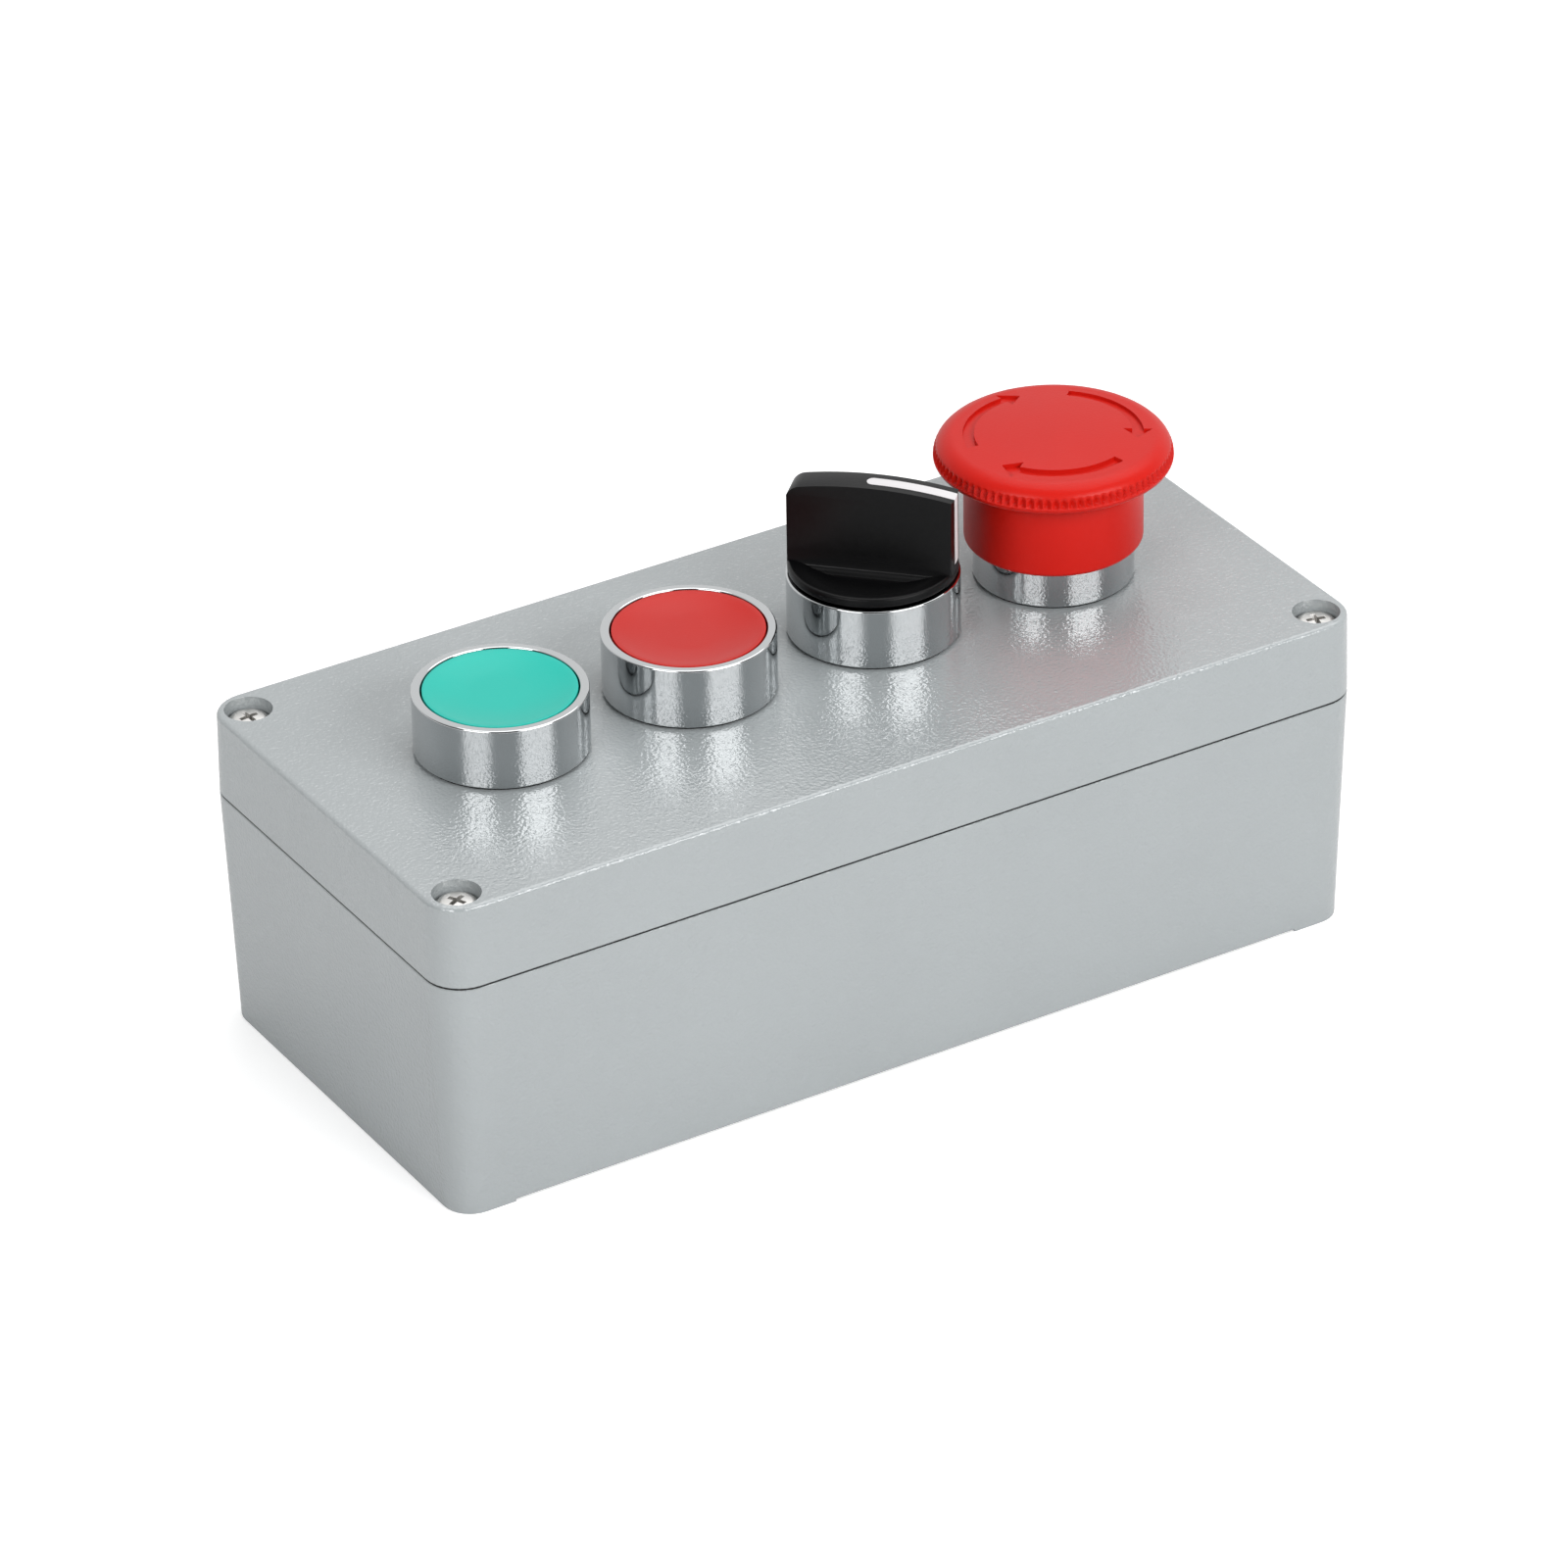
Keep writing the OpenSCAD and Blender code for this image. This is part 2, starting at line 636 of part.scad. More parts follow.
// Bright body of an operator: ring with a well, neck through the panel, spring seat and bayonet lugs
module operator_body(top_d, top_h, hole_d, keyway = false) {
    edge = ring_edge_r;
    h = top_h - gasket_t;
    difference() {
        union() {
            translate([0, 0, z_ring]) rotate_extrude() polygon(concat(
                [[bore_d / 2, 0]], [[top_d / 2 - edge, 0]], arc(top_d / 2 - edge, edge, edge, -90, 0),
                arc(top_d / 2 - edge, h - edge, edge, 0, 90),
                arc(hole_d / 2 + edge, h - edge, edge, 90, 180),
                [[hole_d / 2, well_floor_t], [bore_d / 2, well_floor_t]]));
            pipe(neck_d, bore_d, z_neck, z_ring + well_floor_t);
            pipe(neck_d, seat_hole_d, z_neck, z_seat);
            intersection() {
                pipe(neck_d + 2 * lug_t, bore_d, z_neck, z_neck + lug_h);
                translate([0, 0, z_neck]) cube([2 * neck_d, lug_w, 2 * lug_h], center = true);
            }
            translate([-key_w / 2, neck_d / 2 - key_h, z_panel])
                cube([key_w, 2 * key_h, panel_t + gasket_t + well_floor_t]);
        }
        if (keyway) translate([-keyway_w / 2, bore_d / 2 - keyway_h, z_seat])
            cube([keyway_w, 2 * keyway_h, z_well - z_seat + cut]);
    }
}

module operator_gasket(d) color(seal_black)
    difference() {
        pipe(d, panel_hole_d, box_h, z_ring);
        translate([0, panel_hole_d / 2, box_h])
            cube([key_w + 2 * key_gap, 2 * (key_h + key_gap), 4 * gasket_t], center = true);
    }

// Helix of round wire between two heights, closed at both ends
module coil_spring(z0, z1) {
    r = coil_d / 2;
    rings = coil_turns * coil_rings;
    low = z0 + spring_gap + wire_d / 2;
    rise = z1 - z0 - 2 * spring_gap - wire_d;
    points = [for (i = [0 : rings]) for (j = [0 : wire_sides - 1])
        let (a = 360 * i / coil_rings, b = 360 * j / wire_sides, rr = r + wire_d / 2 * cos(b))
            [rr * cos(a), rr * sin(a), low + rise * i / rings + wire_d / 2 * sin(b)]];
    sides = [for (i = [0 : rings - 1]) for (j = [0 : wire_sides - 1]) for (k = [0, 1])
        let (a = i * wire_sides + j, b = i * wire_sides + (j + 1) % wire_sides)
            k == 0 ? [a, b, b + wire_sides] : [a, b + wire_sides, a + wire_sides]];
    ends = [for (j = [1 : wire_sides - 2]) for (k = [0, 1])
        k == 0 ? [0, j + 1, j] : [rings * wire_sides, rings * wire_sides + j, rings * wire_sides + j + 1]];
    polyhedron(points = points, faces = concat(sides, ends));
}

// Dished cap, hollow underneath for the stem's head
module button_cap() {
    r = cap_d / 2;
    dish_half = r - cap_edge_r - cap_land;
    dish_r = sagitta_r(dish_half, cap_dish);
    dish_a = asin(dish_half / dish_r);
    translate([0, 0, cap_z]) rotate_extrude() polygon(concat(
        arc(0, dish_r - cap_dish, dish_r, -90, -90 + dish_a),
        arc(r - cap_edge_r, -cap_edge_r, cap_edge_r, 90, 0),
        [[r, -cap_h], [r - cap_wall, -cap_h]],
        [[r - cap_wall, stem_head_t - cap_h], [0, stem_head_t - cap_h]]));
}

module button_stem() {
    rod(cap_d - 2 * cap_wall, cap_z - cap_h, cap_z - cap_h + stem_head_t);
    rod(piston_d, z_seat + button_spring_l, cap_z - cap_h);
    rod(stem_tip_d, z_collar + press_travel + 2 * press_gap, z_seat + button_spring_l);
}

// Clamping collar: the neck's lugs hold in the recess under its ledge
module mounting_collar() {
    difference() {
        translate([0, 0, z_collar]) linear_extrude(height = collar_h)
            offset(r = collar_r) square(collar_w - 2 * collar_r, center = true);
        rod(panel_hole_d, z_collar - cut, z_panel);
        rod(neck_d + 2 * (lug_t + bayonet_gap), z_collar - cut, z_collar + bayonet_h);
        translate([0, 0, z_collar]) cube([neck_d + 2 * (lug_t + bayonet_gap), lug_w + 2 * bayonet_gap,
            2 * (collar_h + cut)], center = true);
        for (s = [-1, 1]) translate([s * clamp_x, s * clamp_y, z_collar - cut])
            cylinder(d = clamp_screw_d, h = collar_h + 2 * cut);
        for (s = [-1, 1]) translate([0, s * collar_w / 2, z_collar + hook_h - barb_l / 2])
            cube([hook_w + 2 * hook_gap, 2 * (barb_h + hook_gap), barb_l + 2 * hook_gap], center = true);
    }
}

module contact_block() {
    difference() {
        union() {
            translate([-block_w / 2, -block_l / 2, z_block + terminal_h])
                cube([block_w, block_l, block_h - terminal_h]);
            translate([-block_w / 2, terminal_step - block_l / 2, z_block])
                cube([block_w, block_l - 2 * terminal_step, terminal_h]);
            for (s = [0, 180]) rotate(s) translate([-hook_w / 2, block_l / 2, z_collar]) {
                translate([0, collar_w / 2 - block_l / 2 + hook_gap, 0]) cube([hook_w, hook_t, hook_h]);
                translate([0, -hook_t, -hook_t])
                    cube([hook_w, 2 * hook_t + collar_w / 2 - block_l / 2 + hook_gap, hook_t]);
                translate([0, collar_w / 2 - block_l / 2 - barb_h, hook_h - barb_l])
                    cube([hook_w, barb_h + 2 * hook_gap, barb_l]);
            }
        }
        rod(plunger_d + 2 * run_gap, z_collar - plunger_room, z_collar + cut);
        for (s = [0, 180]) rotate(s) {
            translate([-pocket_w / 2, terminal_y - pocket_l / 2, z_block - cut])
                cube([pocket_w, pocket_l + cut, pocket_h + cut]);
            translate([0, terminal_y, z_block])
                cylinder(d = terminal_screw_d, h = pocket_h + terminal_screw_l);
        }
    }
}

module contact_plunger(travel) {
    top = z_collar + travel + press_gap;
    rod(plunger_d, z_collar - plunger_in_l, top);
}

// Handle's side outline, in its own length and height: arched top, rounded tail, upright ends
module handle_outline(inset = 0) {
    half = knob_d / 2;
    top_r = sagitta_r(half, handle_fall);
    tail_a = 90 + asin((half - tail_r) / (top_r - tail_r));
    tail_z = handle_z - top_r + (top_r - tail_r) * sin(tail_a);
    offset(delta = -inset) polygon(concat(
        [[half + 2 * cut, z_rim], [half + 2 * cut, handle_end_z]],
        arc(0, handle_z - top_r, top_r, 90 - asin(half / top_r), tail_a, 2 * round_steps),
        arc(tail_r - half, tail_z, tail_r, tail_a + (180 - tail_a) / round_steps, 180, round_steps - 1),
        [[-half, z_rim]]));
}

// Handle as a solid, along X, before its base is added
module handle_solid(inset = 0) {
    intersection() {
        rotate([90, 0, 0]) linear_extrude(height = knob_d, center = true) handle_outline(inset);
        rod(knob_d - 2 * inset, z_rim, handle_z + cut);
        rotate([90, 0, 90]) linear_extrude(height = 2 * knob_d, center = true) polygon([
            [-handle_foot_t / 2, knob_z + knob_base_h / 2], [handle_foot_t / 2, knob_z + knob_base_h / 2],
            [handle_t / 2, handle_end_z - handle_edge_r], [handle_t / 2 - handle_edge_r, handle_z + cut],
            [handle_edge_r - handle_t / 2, handle_z + cut], [-handle_t / 2, handle_end_z - handle_edge_r]]);
    }
}

// Stripe of the pointer, as wide as asked
module pointer_stripe(w) {
    translate([w / 2 - pointer_start, 0, knob_top_z + pointer_foot]) {
        cylinder(d = w, h = handle_top);
        translate([0, -w / 2, 0]) cube([knob_d, w, handle_top]);
    }
}

module selector_knob_shape() {
    base_r = knob_d / 2;
    hollow_half = base_r - knob_base_h / 2;
    difference() {
        union() {
            translate([0, 0, knob_z]) rotate_extrude() polygon(concat([[0, 0]],
            arc(base_r - knob_foot_r, knob_foot_r, knob_foot_r, 270, 360),
                arc(base_r - knob_base_h / 2, knob_base_h / 2, knob_base_h / 2, 0, 90),
                [[hollow_half / 2, knob_base_h - hollow_h], [0, knob_base_h]]));
            handle_solid();
            rod(cap_d, knob_z - cam_flange_t, knob_z + knob_base_h / 2);
            translate([-drive_w / 2, -drive_w / 2, knob_z - cam_flange_t - drive_l])
                cube([drive_w, drive_w, drive_l + cam_flange_t]);
        }
        difference() {
            pointer_stripe(pointer_w);
            handle_solid(pointer_t);
        }
    }
}

module selector_pointer_shape() {
    difference() {
        intersection() {
            handle_solid();
            pointer_stripe(pointer_w);
        }
        handle_solid(pointer_t);
    }
}

// Rotary cam: a barrel whose lower face is cut on the slant, with a flange under the knob
module selector_cam_shape() {
    top = knob_z - cam_flange_t;
    tilt = atan(cam_slope);
    difference() {
        union() {
            rod(piston_d, z_seat + button_spring_l, top);
            rod(well_d - 2 * cam_flange_gap, top - cam_flange_t, top);
        }
        translate([0, 0, top]) rotate(pointer_angle)
            cube([drive_w + 2 * drive_gap, drive_w + 2 * drive_gap, 2 * (drive_l + drive_gap)], center = true);
        rotate(pin_angle + select_angle / 2) translate([0, 0, cam_z]) rotate([0, -tilt, 0])
            translate([0, 0, -bore_d]) cube([4 * bore_d, 4 * bore_d, 2 * bore_d], center = true);
    }
}

module selector_follower_shape() {
    low = z_seat + button_spring_l;
    rod(piston_d, low, low + follower_t);
    rod(stem_tip_d, z_collar + cam_lift + 2 * press_gap, low);
    rotate(pin_angle) translate([pin_orbit_r, 0, 0]) {
        rod(pin_d, low + follower_t / 2, pin_z);
        translate([0, 0, pin_z]) sphere(d = pin_d);
    }
    translate([-follower_key_w / 2, bore_d / 2 - 2 * follower_key_h, low])
        cube([follower_key_w, 3 * follower_key_h, follower_t]);
}

// Mushroom head with its skirt and hub
module stop_mushroom_shape() {
    r = mushroom_d / 2;
    er = mushroom_edge_r;
    lr = mushroom_low_r;
    dome_half = r - er;
    dome_r = sagitta_r(dome_half, dome_h);
    dome_a = asin(dome_half / dome_r);
    skirt_in = stop_ring_d / 2 + skirt_gap;
    low_z = mushroom_widest_z - lr;
    rib_z = low_z - cut;
    difference() {
        rotate_extrude($fn = 96) polygon(concat(
            arc(0, mushroom_top_z - dome_r, dome_r, 90, 90 - dome_a),
            arc(dome_half, mushroom_widest_z, er, 90, 0, 2 * round_steps),
            arc(r - lr, mushroom_widest_z, lr, 0, -90),
            [[skirt_d / 2, mushroom_widest_z - lr]],
            arc(skirt_d / 2 - skirt_edge_r, box_h + skirt_z + skirt_edge_r, skirt_edge_r, 0, -90),
            [[skirt_in, box_h + skirt_z], [skirt_in, hub_top_z], [hub_d / 2, hub_top_z],
             [hub_d / 2, box_h + hub_z], [turn_pin_d / 2 + turn_gap, box_h + hub_z],
             [turn_pin_d / 2 + turn_gap, hub_top_z], [0, hub_top_z]]));
        for (i = [0 : rib_count - 1]) rotate(360 * i / rib_count) translate([r, 0, rib_z])
            rotate(45) translate([-rib_h / sqrt(2), -rib_h / sqrt(2), 0])
                cube([2 * rib_h, 2 * rib_h, mushroom_widest_z + rib_rise - rib_z]);
    }
}

module stop_plunger_shape() {
    low = z_seat + stop_spring_l;
    latch_z = z_ring - latch_w / 2;
    difference() {
        union() {
            rod(piston_d, low, box_h + hub_z - press_gap);
            rod(turn_pin_d, low, hub_top_z - turn_end_gap);
            rod(stem_tip_d, z_collar + stop_travel + 2 * press_gap, low);
        }
        pipe(bore_d + 2 * cut, piston_d - 2 * latch_t, latch_z, latch_z + latch_w);
    }
}

// Split ring in the plunger's groove
module stop_latch_ring_shape() {
    latch_z = z_ring - latch_w / 2;
    difference() {
        pipe(piston_d, piston_d - 2 * latch_t, latch_z, latch_z + latch_w);
        translate([bore_d / 2, 0, latch_z]) cube([bore_d, latch_split_w, 4 * latch_w], center = true);
    }
}

module clamp_screws() color(steel)
    for (x = row_places) at_operator(x) for (s = [-1, 1])
        translate([s * clamp_x, s * clamp_y, z_collar]) mirror([0, 0, 1])
            pan_screw(clamp_screw_d, collar_h + clamp_gap, clamp_head_d, clamp_head_h);

module terminal_screws() color(steel)
    for (x = row_places) at_operator(x) for (s = [-1, 1])
        translate([0, s * terminal_y, z_block + pocket_h - wire_clamp_t]) mirror([0, 0, 1])
            pan_screw(terminal_screw_d, terminal_screw_l + wire_clamp_t, terminal_head_d, terminal_head_h);

module wire_clamps() color(zinc)
    for (x = row_places) at_operator(x) for (s = [-1, 1])
        translate([0, s * terminal_y, z_block + pocket_h - wire_clamp_t]) difference() {
            translate([-pocket_w / 2 + wire_clamp_gap, -pocket_l / 2 + wire_clamp_gap, 0])
                cube([pocket_w - 2 * wire_clamp_gap, pocket_l - 2 * wire_clamp_gap, wire_clamp_t]);
            translate([0, 0, -cut]) cylinder(d = terminal_screw_d, h = wire_clamp_t + 2 * cut);
        }

module green_body() color(bright) at_operator(green_x) operator_body(ring_d, ring_h, well_d);
module green_gasket() at_operator(green_x) operator_gasket(gasket_d);
module green_cap() color(button_green) at_operator(green_x) button_cap();
module green_stem() color(plunger_white) at_operator(green_x) button_stem();
module green_spring() color(steel) at_operator(green_x) coil_spring(z_seat, z_seat + button_spring_l);
module green_collar() color(zinc) at_operator(green_x) mounting_collar();
module green_contact_block() color(block_grey) at_operator(green_x) contact_block();
module green_contact_plunger() color(button_green) at_operator(green_x) contact_plunger(press_travel);

module red_body() color(bright) at_operator(red_x) operator_body(ring_d, ring_h, well_d);
module red_gasket() at_operator(red_x) operator_gasket(gasket_d);
module red_cap() color(button_red) at_operator(red_x) button_cap();
module red_stem() color(plunger_white) at_operator(red_x) button_stem();
module red_spring() color(steel) at_operator(red_x) coil_spring(z_seat, z_seat + button_spring_l);
module red_collar() color(zinc) at_operator(red_x) mounting_collar();
module red_contact_block() color(block_grey) at_operator(red_x) contact_block();
module red_contact_plunger() color(button_red) at_operator(red_x) contact_plunger(press_travel);

module selector_body() color(bright) at_operator(selector_x) operator_body(ring_d, ring_h, well_d, true);
module selector_gasket() at_operator(selector_x) operator_gasket(gasket_d);
module selector_knob() color(handle_black)
    at_operator(selector_x) rotate(pointer_angle) selector_knob_shape();
module selector_pointer() color(pointer_white)
    at_operator(selector_x) rotate(pointer_angle) selector_pointer_shape();
module selector_cam() color(plunger_white) at_operator(selector_x) selector_cam_shape();
module selector_follower() color(button_green) at_operator(selector_x) selector_follower_shape();
module selector_spring() color(steel) at_operator(selector_x) coil_spring(z_seat, z_seat + button_spring_l);
module selector_collar() color(zinc) at_operator(selector_x) mounting_collar();
module selector_contact_block() color(block_grey) at_operator(selector_x) contact_block();
module selector_contact_plunger() color(button_green) at_operator(selector_x) contact_plunger(cam_lift);

module stop_body() color(bright) at_operator(stop_x) operator_body(stop_ring_d, stop_ring_h, stop_well_d);
module stop_gasket() at_operator(stop_x) operator_gasket(gasket_d - ring_d + stop_ring_d);
module stop_mushroom() color(button_red) at_operator(stop_x) stop_mushroom_shape();
module stop_plunger() color(plunger_white) at_operator(stop_x) stop_plunger_shape();
module stop_latch_ring() color(steel) at_operator(stop_x) stop_latch_ring_shape();
module stop_spring() color(steel) at_operator(stop_x) coil_spring(z_seat, z_seat + stop_spring_l);
module stop_collar() color(zinc) at_operator(stop_x) mounting_collar();
module stop_contact_block() color(block_grey) at_operator(stop_x) contact_block();
module stop_contact_plunger() color(button_red) at_operator(stop_x) contact_plunger(stop_travel);

enclosure_base();
enclosure_lid();
lid_gasket();
lid_screws();
blanking_plug();
plug_seal();
earth_screw();
earth_washer();
clamp_screws();
terminal_screws();
wire_clamps();
green_body();
green_gasket();
green_cap();
green_stem();
green_spring();
green_collar();
green_contact_block();
green_contact_plunger();
red_body();
red_gasket();
red_cap();
red_stem();
red_spring();
red_collar();
red_contact_block();
red_contact_plunger();
selector_body();
selector_gasket();
selector_knob();
selector_pointer();
selector_cam();
selector_follower();
selector_spring();
selector_collar();
selector_contact_block();
selector_contact_plunger();
stop_body();
stop_gasket();
stop_mushroom();
stop_plunger();
stop_latch_ring();
stop_spring();
stop_collar();
stop_contact_block();
stop_contact_plunger();
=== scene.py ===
"""Looks of the pushbutton control station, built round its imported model."""

import json
import logging
import math
from collections.abc import Iterable, Sequence
from dataclasses import dataclass
from enum import Enum

import bmesh
import bpy
from mathutils import Matrix, Vector


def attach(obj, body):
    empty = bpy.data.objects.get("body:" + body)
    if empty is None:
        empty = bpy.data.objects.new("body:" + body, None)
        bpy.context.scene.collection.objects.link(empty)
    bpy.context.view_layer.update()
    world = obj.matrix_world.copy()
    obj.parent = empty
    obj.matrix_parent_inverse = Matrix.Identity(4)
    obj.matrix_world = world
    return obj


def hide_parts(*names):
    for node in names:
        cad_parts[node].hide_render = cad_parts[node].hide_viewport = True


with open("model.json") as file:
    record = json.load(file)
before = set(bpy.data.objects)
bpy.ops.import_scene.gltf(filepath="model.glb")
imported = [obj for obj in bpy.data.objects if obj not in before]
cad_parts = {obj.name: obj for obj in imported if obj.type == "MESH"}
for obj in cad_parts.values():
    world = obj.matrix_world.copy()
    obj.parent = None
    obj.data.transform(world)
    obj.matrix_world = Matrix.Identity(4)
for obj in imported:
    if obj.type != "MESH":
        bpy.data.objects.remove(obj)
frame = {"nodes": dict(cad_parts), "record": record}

LOG = logging.getLogger("control_station")
MM = 0.001
FULL_TURN = 2 * math.pi
PLAIN_STEPS = 128
FINE_STEPS = 160
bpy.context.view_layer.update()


class Shading(Enum):
    """Angle, in degrees, past which an edge of a piece stays crisp."""

    ROUND = 50.0
    CAST = 28.0


# ---------------------------------------------------------------- node helpers


def node_at(tree: bpy.types.NodeTree, kind: str, x: float, y: float, **values: object) -> bpy.types.Node:
    """Adds a node to a tree.

    Args:
        tree: The tree that takes the node.
        kind: The node's type name.
        x: Column of the node, in units of 200.
        y: Row of the node, in units of 200.
        values: Values of its inputs by name, with spaces as underscores, and of its properties.

    Returns:
        The new node.
    """
    node = tree.nodes.new(kind)
    node.location = (200 * x, 200 * y)
    for key, value in values.items():
        socket = key.replace("_", " ")
        if socket in node.inputs:
            node.inputs[socket].default_value = value
        else:
            setattr(node, key, value)
    return node


def new_group(name: str, inputs: dict[str, tuple[str, object]], outputs: dict[str, str]) -> tuple[
        bpy.types.NodeTree, bpy.types.Node, bpy.types.Node]:
    """Starts a shader node group with its sockets.

    Args:
        name: Name of the group.
        inputs: Socket type and default value of each input, by its name.
        outputs: Socket type of each output, by its name.

    Returns:
        The group, its input node and its output node.
    """
    tree = bpy.data.node_groups.new(name, "ShaderNodeTree")
    for label, (kind, value) in inputs.items():
        tree.interface.new_socket(label, in_out="INPUT", socket_type=kind).default_value = value
    for label, kind in outputs.items():
        tree.interface.new_socket(label, in_out="OUTPUT", socket_type=kind)
    start = node_at(tree, "NodeGroupInput", -5, 0)
    end = node_at(tree, "NodeGroupOutput", 3, 0)
    return tree, start, end


def link_all(tree: bpy.types.NodeTree, *pairs: tuple[bpy.types.NodeSocket, bpy.types.NodeSocket]) -> None:
    """Links each pair of sockets."""
    for source, target in pairs:
        tree.links.new(source, target)


def relief_group() -> bpy.types.NodeTree:
    """Builds the group for the fine relief of paint and of moulded plastic.

    Returns:
        A group that turns a colour and a roughness into slightly uneven ones, with a normal.
    """
    tree, start, end = new_group(
        "surface_relief",
        {"Color": ("NodeSocketColor", (0.5, 0.5, 0.5, 1)), "Roughness": ("NodeSocketFloat", 0.4),
         "Relief Scale": ("NodeSocketFloat", 700.0), "Relief Depth": ("NodeSocketFloat", 0.3),
         "Tone": ("NodeSocketFloat", 0.05), "Wear": ("NodeSocketFloat", 0.1)},
        {"Color": "NodeSocketColor", "Roughness": "NodeSocketFloat", "Normal": "NodeSocketVector"})
    place = node_at(tree, "ShaderNodeTexCoord", -5, 3)
    bumps = node_at(tree, "ShaderNodeTexNoise", -3, 2, Detail=1.5, Roughness=0.6)
    clouds = node_at(tree, "ShaderNodeTexNoise", -3, 1, Scale=38.0, Detail=4.0, Roughness=0.6)
    height = node_at(tree, "ShaderNodeBump", 1, 2, Distance=0.00025)
    shade = node_at(tree, "ShaderNodeMapRange", -2, 1, From_Min=0.3, From_Max=0.7, To_Min=-1.0, To_Max=1.0)
    amount = node_at(tree, "ShaderNodeMath", -1, 1, operation="MULTIPLY")
    gain = node_at(tree, "ShaderNodeMath", 0, 1, operation="ADD")
    tint = node_at(tree, "ShaderNodeVectorMath", 1, 1, operation="SCALE")
    rub = node_at(tree, "ShaderNodeMath", -1, -1, operation="MULTIPLY")
    rough = node_at(tree, "ShaderNodeMath", 0, -1, operation="ADD")
    gain.inputs[1].default_value = 1.0
    link_all(
        tree,
        (place.outputs["Object"], bumps.inputs["Vector"]),
        (place.outputs["Object"], clouds.inputs["Vector"]),
        (start.outputs["Relief Scale"], bumps.inputs["Scale"]),
        (bumps.outputs["Fac"], height.inputs["Height"]),
        (start.outputs["Relief Depth"], height.inputs["Strength"]),
        (clouds.outputs["Fac"], shade.inputs["Value"]),
        (shade.outputs["Result"], amount.inputs[0]), (start.outputs["Tone"], amount.inputs[1]),
        (amount.outputs["Value"], gain.inputs[0]),
        (start.outputs["Color"], tint.inputs[0]), (gain.outputs["Value"], tint.inputs["Scale"]),
        (shade.outputs["Result"], rub.inputs[0]), (start.outputs["Wear"], rub.inputs[1]),
        (rub.outputs["Value"], rough.inputs[0]), (start.outputs["Roughness"], rough.inputs[1]),
        (tint.outputs["Vector"], end.inputs["Color"]), (rough.outputs["Value"], end.inputs["Roughness"]),
        (height.outputs["Normal"], end.inputs["Normal"]))
    return tree


def handling_group() -> bpy.types.NodeTree:
    """Builds the group for bare metal: faint cloudiness and hair-fine scratches in its roughness.

    Returns:
        A group that turns a colour and a roughness into those of handled metal.
    """
    tree, start, end = new_group(
        "handled_metal",
        {"Color": ("NodeSocketColor", (0.8, 0.8, 0.8, 1)), "Roughness": ("NodeSocketFloat", 0.1),
         "Haze": ("NodeSocketFloat", 0.05), "Scratches": ("NodeSocketFloat", 0.05)},
        {"Color": "NodeSocketColor", "Roughness": "NodeSocketFloat"})
    place = node_at(tree, "ShaderNodeTexCoord", -5, 3)
    stretch = node_at(tree, "ShaderNodeMapping", -4, 2, Scale=(90.0, 90.0, 2600.0))
    clouds = node_at(tree, "ShaderNodeTexNoise", -3, 1, Scale=110.0, Detail=3.0)
    hairs = node_at(tree, "ShaderNodeTexNoise", -3, 2, Scale=1.0, Detail=1.0)
    cut = node_at(tree, "ShaderNodeMapRange", -2, 2, From_Min=0.6, From_Max=0.72, To_Min=0.0, To_Max=1.0)
    haze = node_at(tree, "ShaderNodeMath", -1, 1, operation="MULTIPLY")
    lines = node_at(tree, "ShaderNodeMath", -1, 2, operation="MULTIPLY")
    both = node_at(tree, "ShaderNodeMath", 0, 1, operation="ADD")
    rough = node_at(tree, "ShaderNodeMath", 1, 1, operation="ADD")
    dull = node_at(tree, "ShaderNodeMath", 1, -1, operation="MULTIPLY_ADD")
    tint = node_at(tree, "ShaderNodeVectorMath", 2, -1, operation="SCALE")
    dull.inputs[1].default_value = -0.6
    dull.inputs[2].default_value = 1.0
    link_all(
        tree,
        (place.outputs["Object"], stretch.inputs["Vector"]),
        (place.outputs["Object"], clouds.inputs["Vector"]),
        (stretch.outputs["Vector"], hairs.inputs["Vector"]), (hairs.outputs["Fac"], cut.inputs["Value"]),
        (clouds.outputs["Fac"], haze.inputs[0]), (start.outputs["Haze"], haze.inputs[1]),
        (cut.outputs["Result"], lines.inputs[0]), (start.outputs["Scratches"], lines.inputs[1]),
        (haze.outputs["Value"], both.inputs[0]), (lines.outputs["Value"], both.inputs[1]),
        (both.outputs["Value"], rough.inputs[0]), (start.outputs["Roughness"], rough.inputs[1]),
        (both.outputs["Value"], dull.inputs[0]), (start.outputs["Color"], tint.inputs[0]),
        (dull.outputs["Value"], tint.inputs["Scale"]), (tint.outputs["Vector"], end.inputs["Color"]),
        (rough.outputs["Value"], end.inputs["Roughness"]))
    return tree


# ---------------------------------------------------------------- finishes


